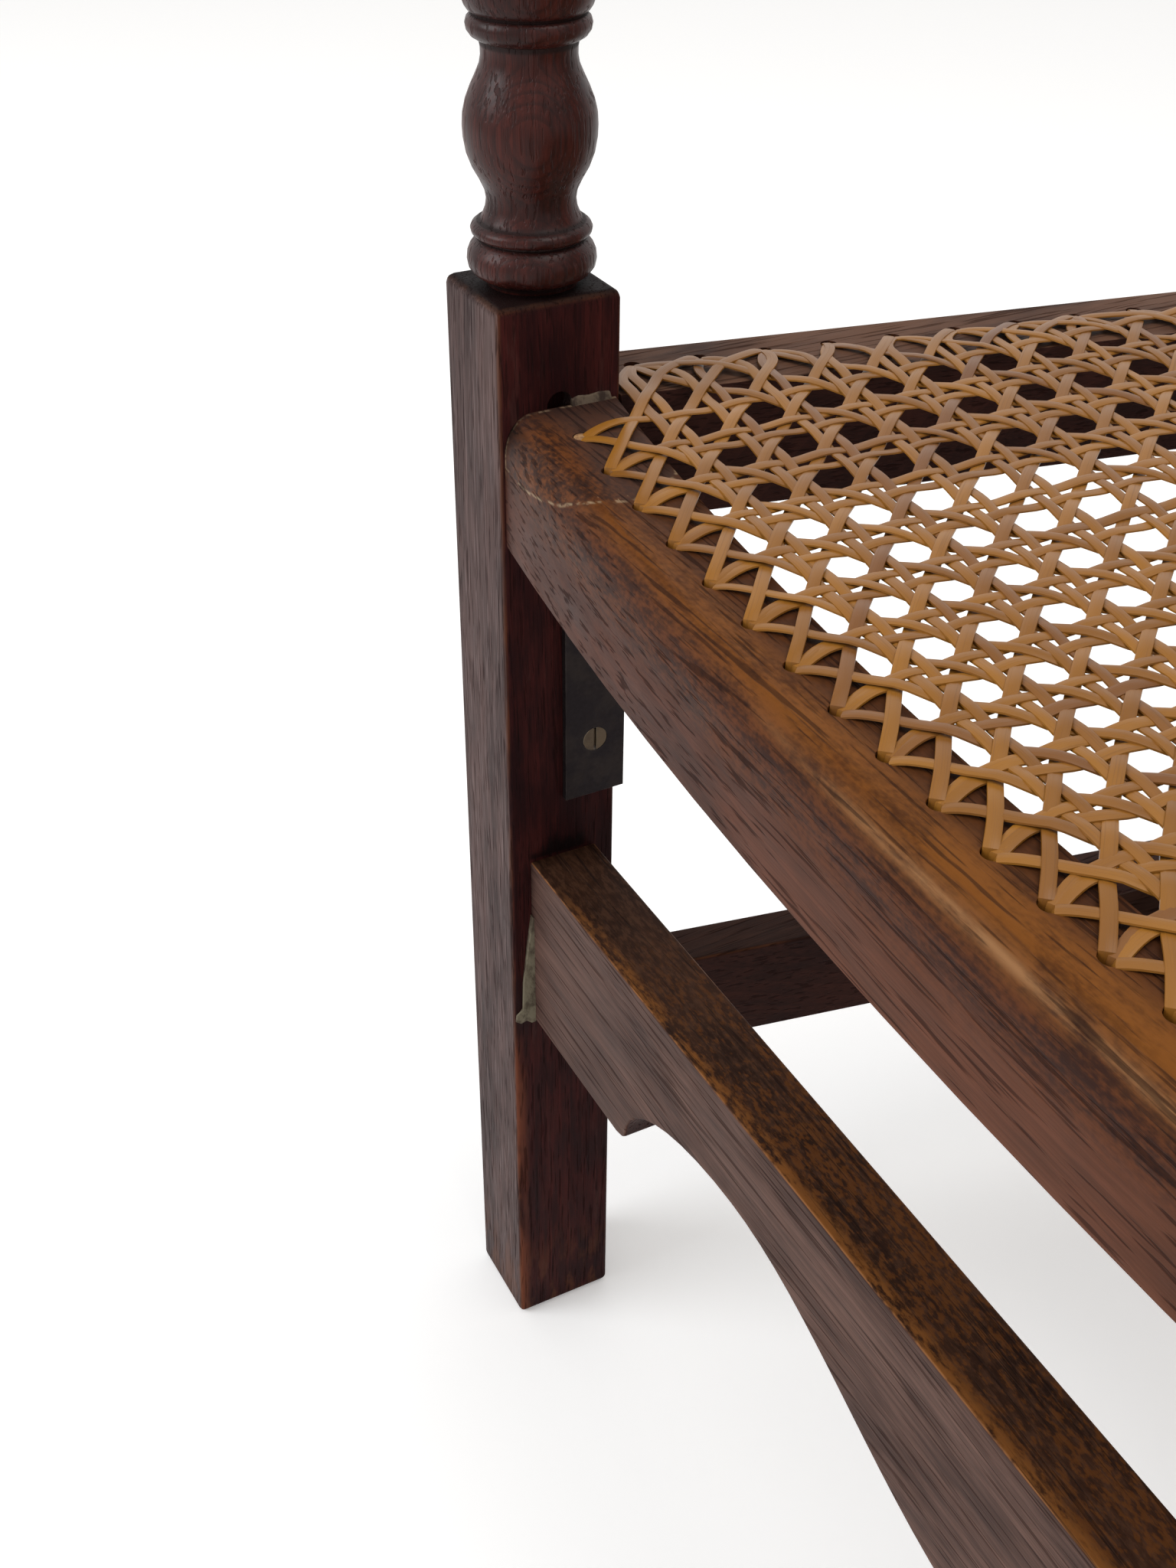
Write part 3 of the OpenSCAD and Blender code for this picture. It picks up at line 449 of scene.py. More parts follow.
def leg_marks(finish, gloss, place, normal, noises):
    """Scuffed feet, a worn lower arris, dull stains inside, painted shadow in a recess above the
    stretcher, and at the block top a dark joint line with painted shade under the turning.
    """
    x, y, z = place
    cloud, blotch, _ = noises
    behind = y - LEG_FRONT
    inner = abs(normal[0]).rise(0.6, 0.9) * abs(x).rise(LEG_IN + 0.006, LEG_IN + 0.003)
    stain = finish.noise(x * 20, y * 170, z * 34, detail=4, roughness=0.6)
    finish.coat(inner * stain.rise(0.44, 0.66) * 0.6, 28, 12, 14)
    finish.coat(inner * stain.rise(0.42, 0.3) * 0.35, 74, 46, 42)
    dry = finish.noise(x * 1500, y * 1500, z * 38).rise(0.52, 0.7) * abs(normal[1]).rise(0.6, 0.9)
    finish.coat(dry * 0.45, 122, 104, 102)
    scuffed = z.rise(0.05, 0.01) * blotch.rise(0.45, 0.6) * 0.3
    finish.coat(scuffed, 110, 70, 46)
    low_arris = z.rise(STRETCHER_FOOT, STRETCHER_FOOT - 25 * MM) * behind.rise(0.006, 0.001)
    low_arris = low_arris * abs(normal[0]).rise(0.4, 0.8)
    finish.coat(low_arris * cloud.rise(0.38, 0.58) * 0.7, 118, 66, 46)
    # Painted shadow: a recess on the inner face just above the stretcher, painted near black.
    recess_shadow_top = (z + (blotch - 0.5) * 0.02).rise(STRETCHER_TOP + 9 * MM, STRETCHER_TOP + 4 * MM)
    above = inner * z.rise(STRETCHER_TOP, STRETCHER_TOP + 2 * MM) * recess_shadow_top
    painted_recess_shadow = above * behind.rise(0.006, 0.009) * behind.rise(0.031, 0.027)
    finish.coat(painted_recess_shadow * 0.9, 14, 7, 8)
    # A dark band round the block top: a dark joint line, with painted shade under the turning's overhang.
    finish.lay(z.bump_at(BLOCK_TOP + 0.5 * MM, 4 * MM) * 0.7, PORE)
    return gloss + inner * 0.1


def turning_marks(finish, gloss, place, normal, noises):
    """Stain and painted shade lie dark in the grooves, upward faces are darker, and the swellings are
    polished by sleeves.
    """
    groove = finish.node("Attribute", {"attribute_name": "groove"}, {}, output=2)
    x, y, z = place
    _, blotch, streak = noises
    wide, deep = abs(x) - 0.351, y + 0.247
    ring = (wide * wide + deep * deep) ** 0.5 * 820 + finish.noise(x * 60, y * 60, z * 25) * 1.2
    year = ring.math("FRACT")
    line = year.rise(0.45, 0.85) * year.rise(1.0, 0.9)
    finish.coat(line * 0.5, 32, 13, 11)
    # Painted shade in the grooves, together with the stain that lies there, and upward faces darker.
    dark = groove.rise(0.03, 0.2).at_least(normal[2].rise(0.6, 0.95) * 0.4)
    finish.lay(dark * 0.85, PORE)
    nick = (streak * 0.4 + blotch * 0.6).rise(0.62, 0.68)
    finish.coat(nick * 0.5, 30, 14, 13)
    return gloss + dark * 0.25


# Front faces are grey-mauve as painted sheen, side faces dark maroon as painted shade, and the block top
# under the torus nearly black as painted shade.
leg_oak = oak("oak_front_legs", "Z", pith=(-0.245, -0.225), front=((88, 69, 66), (54, 40, 39)),
              side=((66, 27, 25), (40, 14, 15)), top=((25, 13, 13), (17, 9, 9)),
              wear=0.25, pore=(60, 1400), pore_depth=0.55, details=leg_marks)


def old_filler(name, light, dark):
    finish = Finish(name, Roughness=0.75, Specular_IOR_Level=0.15)
    x, y, z = finish.split(finish.place)
    crumb = finish.noise(x * 260, y * 260, z * 150, detail=4, roughness=0.65)
    finish.colour = finish.mix(crumb.rise(0.38, 0.6), dark, light)
    return finish.finished(crumb, 0.0006, 0.8)


def dab(name, outline, finish, thick, against_stretcher=False):
    """Filler smeared on the leg's inner face. outline is in mm behind the leg's front and above the
    floor. It is a thin pad, thicker towards the piece whose joint it fills."""
    vertices = []
    for lift in (0, 1):
        for y, z in outline:
            swell = y / STRETCHER_INSET if against_stretcher else (CHIP_EDGE - z) / 4
            proud = lift * thick * min(1, max(0.25, swell)) - SUNK * (1 - lift)
            vertices.append((-LEG_IN + proud * MM, LEG_FRONT + y * MM, z * MM))
    count = len(outline)
    faces = [tuple(range(count - 1, -1, -1)), tuple(range(count, 2 * count))]
    faces += [(k, (k + 1) % count, count + (k + 1) % count, count + k) for k in range(count)]
    mesh = bpy.data.meshes.new(name)
    mesh.from_pydata(vertices, [], faces)
    piece = add_object(name, mesh)
    mesh.materials.append(finish)
    round_over(piece, 0.25 * MM, segments=2)
    return piece


SUNK = 0.3
CHIP_EDGE = 406.5
putty = old_filler("old_putty", paint(116, 108, 90), paint(78, 68, 56))
chip = old_filler("old_chip", paint(104, 90, 76), paint(58, 46, 40))
PUTTY_OUTLINE = [(0.6, 165.2), (1.0, 168), (3.4, 170.5), (3.8, 183), (4.9, 193), (6.5, 207), (7.4, 213.5),
                 (8.1, 213), (8.1, 164.2), (6.4, 163.6), (4.6, 165), (2.6, 163.8)]
CHIP_OUTLINE = [(23.4, 402.3), (23.6, 404.4), (26, 405.0), (29.5, 404.6), (33, 405.0), (36.4, 404.6),
                (36.8, 402.3)]
TURNED = (70, 29, 23), (38, 14, 12)
turned_oak = oak("oak_turnings", "Z", pith=(-0.245, -0.225), front=TURNED, side=TURNED, top=TURNED,
                 wear=0, gloss=0.34, sheen=0.18, pore_depth=0.35, details=turning_marks)
for side, hand in [(-1, "left"), (1, "right")]:
    corners = sorted([side * LEG_IN, side * LEG_OUT])
    leg = block((corners[0], LEG_FRONT, 0), (corners[1], LEG_FRONT + LEG_DEPTH, BLOCK_TOP))
    round_over(leg, LEG_ARRIS, segments=4,
               joint=lambda at: 0.3 if LEG_END < at.z < BLOCK_TOP - LEG_END else 0)
    leg.data.materials.append(leg_oak)
    support = turn_on_lathe(mirrored_rings(HALF_SUPPORT, SUPPORT_LENGTH))
    centre = (side * (LEG_IN + LEG_OUT) / 2, LEG_FRONT + LEG_DEPTH / 2, BLOCK_TOP)
    moved(support, Matrix.Translation(centre))
    support.data.materials.append(turned_oak)
    if side == -1:
        bpy.ops.mesh.primitive_cylinder_add(vertices=24, radius=4.3 * MM, depth=12 * MM,
                                            location=(-LEG_IN, LEG_FRONT + 20 * MM, 403 * MM),
                                            rotation=(0, math.pi / 2, 0))
        notch = bpy.context.object
        cut = leg.modifiers.new("notch", "BOOLEAN")
        cut.object = notch
        cut.solver = "EXACT"
        apply_modifiers(leg)
        bpy.data.objects.remove(notch)
        fillings = [dab("putty", PUTTY_OUTLINE, putty, 2.2, True), dab("chip", CHIP_OUTLINE, chip, 1.6)]
        support = join([support, *fillings])
    settle(join([leg, support]), "leg_and_arm_support_" + hand, None, "front_leg_" + hand)


# Sawn and planed oak. Rails, stretchers, brace, arms, stiles and crest are sawn to outline, drilled
# for the cane and tenoned together, with arrises taken off by hand and worn rounder since.
def sawn(node):
    """The piece as the joiner left it, ready for its arrises to be taken off."""
    piece = add_object(node + "_sawn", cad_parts[node].data.copy())
    open_up(piece)
    bpy.ops.mesh.remove_doubles(threshold=2e-6)
    bpy.ops.mesh.dissolve_limited(angle_limit=math.radians(0.4))
    close_up()
    return piece


def plane_and_settle(node, name, material, slot, radius, **arrises):
    """A sawn piece with its arrises rounded by a radius in mm, in the place of its CAD node."""
    piece = sawn(node)
    round_over(piece, radius * MM, **arrises)
    settle(piece, name, material, node)


def at_legs(at):
    return abs(at.x) > LEG_IN - 1 * MM


RAIL_INSET = 1.7 * MM
RAIL_BOW = 20.5 * MM
SEAT_LEVEL = 402.5
RAIL_TOP = SEAT_LEVEL * MM
HOLE_SET, HOLE_BOW = 19.7, 21.5
VARNISH_REACH, VARNISH_ROUND = 64 * MM, 32.4 * MM


def rail_marks(finish, gloss, place, normal, noises):
    """Years of hands and legs: the stain is rubbed to amber on the rounded top, with one pale
    line along the middle of the crest, worn and with a painted highlight on it. Beside the leg the
    old varnish is left, up to a broken ridge. Grime and painted shade lie along the cane's edge,
    grime lies in the joints, and the front face is painted darker towards the legs and with a
    painted sheen towards the middle."""
    x, y, z = place
    share = x / LEG_IN
    middle = 1 - share * share
    behind = y - LEG_FRONT - RAIL_INSET + middle * RAIL_BOW
    below = z - RAIL_TOP
    patch = finish.noise(x * 38, y * 105, z * 105, detail=5, roughness=0.62)
    fibre = finish.noise(x * 50, y * 620, z * 620, detail=4, roughness=0.65)
    mottle = finish.noise(x * 170, y * 330, z * 330, detail=3, roughness=0.6)
    grit = finish.noise(x * 480, y * 900, z * 900)
    brown = finish.mix((fibre * 0.4 + patch * 0.3 + grit * 0.3).rise(0.4, 0.6), paint(44, 21, 12),
                       paint(82, 43, 20))
    finish.lay((below + (patch - 0.5) * 0.016).rise(-0.029, -0.014), brown)
    amber = below.rise(-0.011, -0.003) * behind.bump_at(0.010, 0.013)
    rubbed = patch * 0.5 + mottle * 0.2 + fibre * 0.15 + grit * 0.15 + middle * 0.2
    amber = amber * rubbed.rise(0.53, 0.75)
    finish.coat(amber * (middle * 0.7 + 0.2) * 0.8, 132, 80, 30)
    veil = below.rise(-0.012, -0.006) * behind.rise(0.001, 0.006)
    finish.coat(veil * 0.26, 108, 62, 16)
    # Painted sheen: the lower front face is painted darker towards the legs and lighter towards the middle.
    face = below.rise(-0.014, -0.024)
    finish.coat(face * abs(x).rise(0.08, 0.2) * 0.3, 50, 18, 8)
    finish.coat(face * abs(x).rise(0.16, 0.02) * 0.14, 142, 86, 56)
    crest = below.rise(-0.010, -0.005) * abs(x).rise(0.12, 0.03)
    crest = crest * (fibre * 0.5 + patch * 0.5).rise(0.34, 0.6)
    finish.coat(crest * behind.bump_at(0.0026, 0.0036) * 0.35, 122, 80, 40)
    # The pale line on the crest is wear, with a painted highlight along it.
    finish.coat(crest * behind.bump_at(0.0024, 0.0012) * 0.4, 170, 128, 88)
    crease = crest * behind.bump_at(0.0052, 0.0008) * fibre.rise(0.44, 0.56)
    finish.coat(crease * 0.6, 62, 36, 20)
    # Grime along the hole line, with painted shade on the rail's top under the cane.
    hole_line = y - LEG_FRONT - HOLE_SET * MM + middle * (HOLE_BOW * MM)
    dirt_and_cane_shade = below.rise(-0.006, -0.001) * hole_line.rise(-0.006, 0.002) * (0.2 + patch * 0.5)
    finish.coat(dirt_and_cane_shade, 54, 33, 24)
    from_leg = x + LEG_IN
    round_section = below + 0.012 + behind
    along, around = from_leg / VARNISH_REACH, (0.029 - round_section) / VARNISH_ROUND
    reach = (along ** 2 + around ** 2) ** 0.5 + (patch - 0.5) * 0.12
    left_end = from_leg.rise(-0.004, -0.003) * (0.12 - from_leg).rise(0, 0.01)
    varnish = left_end * reach.rise(1.0, 0.97)
    old = finish.mix((patch * 0.4 + mottle * 0.3 + grit * 0.3).rise(0.42, 0.58), paint(46, 26, 18),
                     paint(96, 54, 27))
    old = finish.mix(round_section.rise(0.02, 0.03) * 0.75, old, paint(66, 47, 40))
    old = finish.mix(from_leg.rise(0.02, 0.002) * 0.6, old, paint(52, 36, 33))
    finish.lay(varnish * 0.92, old)
    ridge = left_end * reach.bump_at(1.0, 0.022) * mottle.rise(0.42, 0.58)
    finish.coat(ridge * 0.6, 158, 136, 108)
    specks = left_end * reach.bump_at(0.95, 0.1) * (mottle * 0.7 + fibre * 0.3).rise(0.62, 0.67)
    finish.coat(specks * 0.7, 176, 154, 118)
    seam = from_leg.bump_at(0.0009, 0.0009) * mottle.rise(0.42, 0.58) * below.rise(-0.02, -0.014)
    finish.coat(seam * 0.6, 150, 128, 104)
    return gloss - amber * 0.1 + varnish * 0.05


# Its front tone holds a painted sheen.
rail_oak = oak("oak_front_rail", "X", pith=(-0.20, 0.31), wear=0, details=rail_marks, sheen=0.08,
               pore=(34, 760), pore_depth=0.62,
               front=((88, 53, 40), (56, 31, 22)), top=((70, 39, 20), (48, 26, 15)))
plane_and_settle("front_seat_rail", "front_rail", rail_oak, "oak_worn", 1.0, joint=at_legs)


def stretcher_marks(finish, gloss, place, normal, noises):
    """The top is dull and dark from feet, and its front arris is rubbed to bare orange oak."""
    x, y, z = place
    fleck = finish.noise(x * 170, y * 520, z * 520, detail=4, roughness=0.65)
    share = finish.noise(x * 22, y * 90, z * 90)
    on_top = normal[2].rise(0.6, 0.95)
    behind = y - LEG_FRONT - STRETCHER_INSET * MM
    from_leg = LEG_IN - abs(x)
    dull = on_top * fleck.rise(0.42, 0.62)
    finish.coat(dull * 0.45, 88, 60, 44)
    grit = finish.noise(x * 420, y * 1000, z * 1000)
    rubbed = on_top * (share * 0.25 + fleck * 0.25 + grit * 0.5).rise(0.48, 0.58)
    finish.coat(rubbed * from_leg.rise(0.03, 0.12) * 0.55, 106, 62, 25)
    face = normal[1].rise(-0.7, -0.95)
    finish.coat(face * from_leg.rise(0.16, 0.03) * 0.26, 50, 34, 32)
    patchy = fleck * 0.5 + share * 0.5
    bare = (behind + (share - 0.5) * 0.008).rise(0.0065, 0.0015) * patchy.rise(0.42, 0.56)
    bare = bare * on_top * from_leg.rise(0.012, 0.05)
    finish.coat(bare * 0.8, 134, 84, 40)
    outer = normal[2].bump_at(0.72, 0.3) * abs(normal[1]).rise(0.25, 0.5)
    outer = outer * z.rise(STRETCHER_TOP - 4 * MM, STRETCHER_TOP - 2.5 * MM) * patchy.rise(0.40, 0.56)
    finish.coat(outer * 0.8, 150, 100, 60)
    return gloss + bare * 0.1


# Its grey-mauve front tone is a painted sheen.
stretcher_oak = oak("oak_front_stretcher", "X", pith=(-0.24, 0.13), wear=0.1, details=stretcher_marks,
                    pore=(16, 800), pore_depth=0.55,
                    front=((103, 78, 69), (64, 45, 39)), top=((64, 41, 29), (42, 25, 17)))
plane_and_settle("front_stretcher", "front_stretcher_shaped", stretcher_oak, "oak_worn", 0.9, joint=at_legs)

# Front tones hold a painted sheen, and side tones painted shade.
PLAIN = {"front": ((84, 56, 48), (54, 33, 29)), "side": ((60, 33, 27), (39, 20, 17)),
         "top": ((66, 43, 35), (44, 26, 21))}


def seat_level_marks(finish, gloss, place, normal, noises):
    """The tops of the seat rails are worn paler than the faces below them."""
    paler = normal[2].rise(0.5, 0.9) * place[2].rise(0.39, 0.4) * noises[0].rise(0.3, 0.6)
    finish.coat(paler * 0.7, 112, 80, 62)
    return gloss


side_oak = oak("oak_side_rails", "Y", pith=(0.02, 0.33), wear=0.3, details=seat_level_marks, **PLAIN)
AT_LEG, RAIL_AT_POST, STRETCHER_AT_POST = LEG_FRONT + LEG_DEPTH + 1 * MM, 165.5 * MM, 171 * MM
for hand in ["left", "right"]:
    plane_and_settle("side_seat_rail_" + hand, "side_rail_" + hand, side_oak, "oak_mid", 1.0,
                     joint=lambda at: at.y < AT_LEG or at.y > RAIL_AT_POST)
    plane_and_settle("side_stretcher_" + hand, "side_stretcher_plain_" + hand, side_oak, "oak_mid", 1.2,
                     joint=lambda at: at.y < AT_LEG or at.y > STRETCHER_AT_POST)

cross_oak = oak("oak_rear_rails", "X", pith=(0.26, 0.30), wear=0.3, **PLAIN)
POST_IN = 187 * MM


def at_posts(at):
    return abs(at.x) > POST_IN - 1 * MM


for node, name in [("rear_seat_rail", "rear_rail"), ("rear_stretcher", "rear_stretcher_plain")]:
    plane_and_settle(node, name, cross_oak, "oak_mid", 1.2, joint=at_posts)
plane_and_settle("seat_brace", "brace_under_cane", side_oak, "oak_mid", 1.2)

arm_oak = oak("oak_arms", "Y", pith=(0.0, 0.55), wear=0.5, gloss=0.4, sheen=0.3,
              side=((74, 42, 32), (48, 27, 22)), top=((96, 58, 36), (62, 36, 24)))
ARM_UNDERSIDE, NEAR_POST, ARM_AT_POST = 622.5 * MM, 200 * MM, 214.5 * MM
for hand in ["left", "right"]:
    plane_and_settle("arm_" + hand, "arm_rest_" + hand, arm_oak, "oak_worn", 4.5, segments=4,
                     joint=lambda at: at.z < ARM_UNDERSIDE and at.y > NEAR_POST or at.y > ARM_AT_POST)

RAKE = math.radians(12)
crest_oak = oak("oak_back_rails", "X", pith=(0.25, 0.8), wear=0.5, **PLAIN)
for node, name in [("crest_rail", "crest"), ("lower_back_rail", "lower_rail_of_back")]:
    plane_and_settle(node, name, crest_oak, "oak_dark", 1.6, joint=at_posts)
stile_oak = oak("oak_stiles", "Z", pith=(0.03, 0.10), turn=-RAKE, wear=0.4, **PLAIN)
for hand in ["left", "right"]:
    plane_and_settle("back_stile_" + hand, "stile_" + hand, stile_oak, "oak_dark", 1.3)


# Back posts. Each is one length of oak, sawn to sweep back below the seat and lean back above
# it, left square at the joints and turned between them, with a small knob on top.
BACK_OUT = 225 * MM
POST_W = 38 * MM
POST_FRONT = LEG_FRONT + 464 * MM
SWEEP_TOP, FOOT_SWEEP, FOOT_TAPER = 330 * MM, 26, 4
POST_ARRIS = 1.2 * MM
ARM_MIDDLE, HALF_ARM_BLOCK = 634.5, 27
ARM_U = (ARM_MIDDLE - SEAT_LEVEL) / math.cos(RAKE)
LOW_BLOCK_TOP = 122
ARM_LOW, ARM_HIGH = ARM_U - HALF_ARM_BLOCK, ARM_U + HALF_ARM_BLOCK
CREST_LOW, CREST_HIGH = 486, 556
TORUS_TOP, VASE_TOP, VASE_SPAN, BEYOND_VASE = 18.7, 67.8, 49.1, 44.4
FINIAL = [(0, 15.4), (0.8, 16.6), (2.2, 17.2), (3.8, 17.2), (5.2, 16.6), (6, 15.4), (6.8, 12.4),
          (8, 10.2), (9.4, 9.8), (10.8, 10.6), (12.6, 12.6), (15, 14.7), (18, 16.3), (22, 17.1),
          (26, 17), (30, 15.9), (34, 13.6), (37.5, 10.6), (40.5, 7.2), (42.6, 3.8), (43.6, 1.2), (43.7, 0.1)]


def short_turning(length):
    """Torus and bead at both ends with one vase between them."""
    rise = length / 2 - TORUS_TOP
    vase = [(TORUS_TOP + rise * t / 8,
             12.95 + 6.1 * math.sin(math.pi / 2 * t / 8) ** 2 + 1.4 * (1 - t / 8) ** 6) for t in range(1, 9)]
    return mirrored_rings(RIM_TORUS + vase, length)


def stretched_support(length):
    """The arm support's turning, with its vases drawn out to a new length."""
    ratio = (length / 2 - BEYOND_VASE) / VASE_SPAN
    rings = [(h, r) for h, r in HALF_SUPPORT if h <= TORUS_TOP]
    rings += [(TORUS_TOP + (h - TORUS_TOP) * ratio, r) for h, r in HALF_SUPPORT if TORUS_TOP < h < VASE_TOP]
    longer = length / 2 - SUPPORT_LENGTH / 2
    rings += [(h + longer, r) for h, r in HALF_SUPPORT if h >= VASE_TOP]
    rings = [ring for i, ring in enumerate(rings) if i == 0 or ring[0] > rings[i - 1][0]]
    return mirrored_rings(rings, length)


post_oak = oak("oak_back_posts", "Z", pith=(-0.13, 0.13), turn=-RAKE, wear=0.4, **PLAIN)
lean = Matrix.Translation((0, POST_FRONT, RAIL_TOP)) @ Matrix.Rotation(-RAKE, 4, "X")
for side, hand in [(-1, "left"), (1, "right")]:
    corners = sorted([side * POST_IN, side * BACK_OUT])
    foot = block((corners[0], POST_FRONT, 0), (corners[1], POST_FRONT + POST_W, RAIL_TOP))
    open_up(foot)
    bpy.ops.mesh.bisect(plane_co=(0, 0, SWEEP_TOP), plane_no=(0, 0, 1))
    close_up()
    for vertex in foot.data.vertices:
        if vertex.co.z < 1 * MM:
            back = vertex.co.y > POST_FRONT + POST_W / 2
            vertex.co.y += (FOOT_SWEEP - (FOOT_TAPER if back else 0)) * MM
        if vertex.co.z > RAIL_TOP - 1 * MM and vertex.co.y > POST_FRONT + POST_W / 2:
            vertex.co.z -= POST_W * math.tan(RAKE / 2)
        vertex.select = vertex.co.z > RAIL_TOP - 6 * MM
    for face in foot.data.polygons:
        face.select = face.center.z > RAIL_TOP - 5 * MM
    bpy.ops.object.mode_set(mode="EDIT")
    bpy.ops.mesh.select_mode(type="FACE")
    rise = Vector((0, math.sin(RAKE), math.cos(RAKE))) * LOW_BLOCK_TOP * MM
    bpy.ops.mesh.extrude_region_move(TRANSFORM_OT_translate={"value": rise})
    close_up()
    top_front = POST_FRONT + rise.y, RAIL_TOP + rise.z
    for vertex in foot.data.vertices:
        if vertex.co.z > RAIL_TOP + 50 * MM:
            deep = vertex.co.y > top_front[0] + POST_W / 4
            vertex.co.y = top_front[0] + (POST_W * math.cos(RAKE) if deep else 0)
            vertex.co.z = top_front[1] - (POST_W * math.sin(RAKE) if deep else 0)
    round_over(foot, POST_ARRIS, sharper_than=40)
    foot.data.materials.append(post_oak)
    parts = [foot]
    for low, high in [(ARM_LOW, ARM_HIGH), (CREST_LOW, CREST_HIGH)]:
        square = block((corners[0], 0, low * MM), (corners[1], POST_W, high * MM))
        round_over(square, POST_ARRIS)
        square.data.materials.append(post_oak)
        parts.append(moved(square, lean))
    for low, rings in [(LOW_BLOCK_TOP, short_turning(ARM_LOW - LOW_BLOCK_TOP)),
                       (ARM_HIGH, stretched_support(CREST_LOW - ARM_HIGH)), (CREST_HIGH, FINIAL)]:
        turning = turn_on_lathe(rings, sides=48)
        seat = Matrix.Translation((side * (POST_IN + BACK_OUT) / 2, POST_W / 2, low * MM))
        turning.data.materials.append(turned_oak)
        parts.append(moved(turning, lean @ seat))
    settle(join(parts), "back_post_turned_" + hand, None, "back_post_" + hand)


# Cane seat. Split cane is woven in six passes: pairs of strands front to back and side to side,
# then two diagonals that lock them and leave eight-sided openings. Each strand goes down a hole.
SIDE_HOLES, REAR_HOLES = 19, 8
FIRST_ROW = 54.7
ROW = 21.6
MID_PITCH, CORNER_PITCH, FRONT_HOLES = 17.3, 24, 12
REAR_LINE = 479
ROWS, LAST_ROW = 20, 19
LEG_BACK, SIDE_FACE, SIDE_TAPER, SIDE_LENGTH, SIDE_HOLE_IN = 40.5, 303.5, 81.5, 423.5, 12.5
PULL, PULLED_ROWS, PULL_PEAK, FIRST_ANGLE = 37.2, 18, 0.22, 0.72
BOW_REACH, EXTRA_ROW, REAR_SLACK = 270, 0.46, 2
EDGE = 2.5
SHORTEST_DIAGONAL, REACH, FAR_REACH, FAR_HALF = 60, 17, 45, 300
STRAY, STRAY_WEIGHT, LAST_LOOSE, FADE_OVER = 4, 1.2, 6.5, 12
SETTLE_DOWN, SETTLE_OVER, RIM, LEAD_STEP = 1.9, 22, 1.9, 2.6
SIDES_FROM, SIDES_TO, FAVOUR_AHEAD = 45, REAR_LINE - 12, 0.8
WEAVE_MID, SEAT_DISH = 404.85, 3.0
TRACK_CELLS, CELL_STEPS = 60, 8
STRAND = [(-1, -0.32), (-0.95, 0.12), (-0.5, 0.34), (0.5, 0.34), (0.95, 0.12), (1, -0.32)]
HALF_WIDTH = {"uprights": 1.8, "levels": 1.7, "rising_diagonals": 1.8, "falling_diagonals": 1.75}
STACKED = {"uprights": 0, "levels": 0.15, "rising_diagonals": 0.35, "falling_diagonals": 0.7}
IN_HOLE = {"uprights": (0.9, -0.2), "levels": (0, 0), "rising_diagonals": (1.0, -0.9),
           "falling_diagonals": (-0.7, -0.5)}


def column_x(i):
    """How far upright i stands from the middle. The pitch grows evenly from the middle outwards."""
    n = abs(i)
    if n <= 1:
        return i * MID_PITCH
    widening = n * (n - 1) * (CORNER_PITCH - MID_PITCH) / (2 * (FRONT_HOLES - 1))
    return math.copysign(n * MID_PITCH + widening, i)


def front_line(x):
    """Where the front rail's bowed line of holes lies, in mm behind the legs' front."""
    return HOLE_SET - HOLE_BOW * (1 - (x / HALF_INSIDE) ** 2)


def side_line(y):
    return SIDE_FACE - (y - LEG_BACK) * SIDE_TAPER / SIDE_LENGTH - SIDE_HOLE_IN


def row_pull(row):
    """How far a row is drawn forward in its middle, following the bowed front rail."""
    t = row / PULLED_ROWS
    if t < PULL_PEAK:
        return PULL * math.cos(FIRST_ANGLE * (PULL_PEAK - t) / PULL_PEAK)
    return PULL * math.cos(math.pi / 2 * min(1, (t - PULL_PEAK) / (1 - PULL_PEAK)))


def row_y(row, x):
    """Where a row lies at x. One more row is fitted between the first and the front rail."""
    bow = 1 - min(1, abs(x) / BOW_REACH) ** 1.5
    first = FIRST_ROW - row_pull(0) * bow
    front = front_line(x)
    if row < 0:
        share = EXTRA_ROW * (row + 2) if row < -1 else EXTRA_ROW + (1 - EXTRA_ROW) * (row + 1)
        return front + (first - front) * share
    last = FIRST_ROW + LAST_ROW * ROW - REAR_SLACK
    if row > LAST_ROW:
        return last + (REAR_LINE - last) * (row - LAST_ROW)
    return FIRST_ROW + row * ROW - row_pull(row) * bow - REAR_SLACK * max(0, row - PULLED_ROWS)


def seat_point(i, j):
    x = column_x(i)
    return x, row_y(j, x)


def in_seat(x, y):
    return front_line(x) + EDGE < y < REAR_LINE - 2 and abs(x) < side_line(y) - EDGE


def seat_height(x, y):
    """The seat is sat into a shallow dish."""
    across = max(0, 1 - (x / side_line(y)) ** 2)
    along = math.sin(math.pi * max(0, min(1, y / REAR_LINE)))
    return WEAVE_MID - SEAT_DISH * across * along


SEAT_HOLES = [(column_x(i), front_line(column_x(i))) for i in range(-FRONT_HOLES, FRONT_HOLES + 1)]
SEAT_HOLES += [(column_x(i), REAR_LINE) for i in range(-REAR_HOLES, REAR_HOLES + 1)]
SEAT_HOLES += [(side * side_line(FIRST_ROW + ROW * k), FIRST_ROW + ROW * k)
               for k in range(SIDE_HOLES) for side in (-1, 1)]


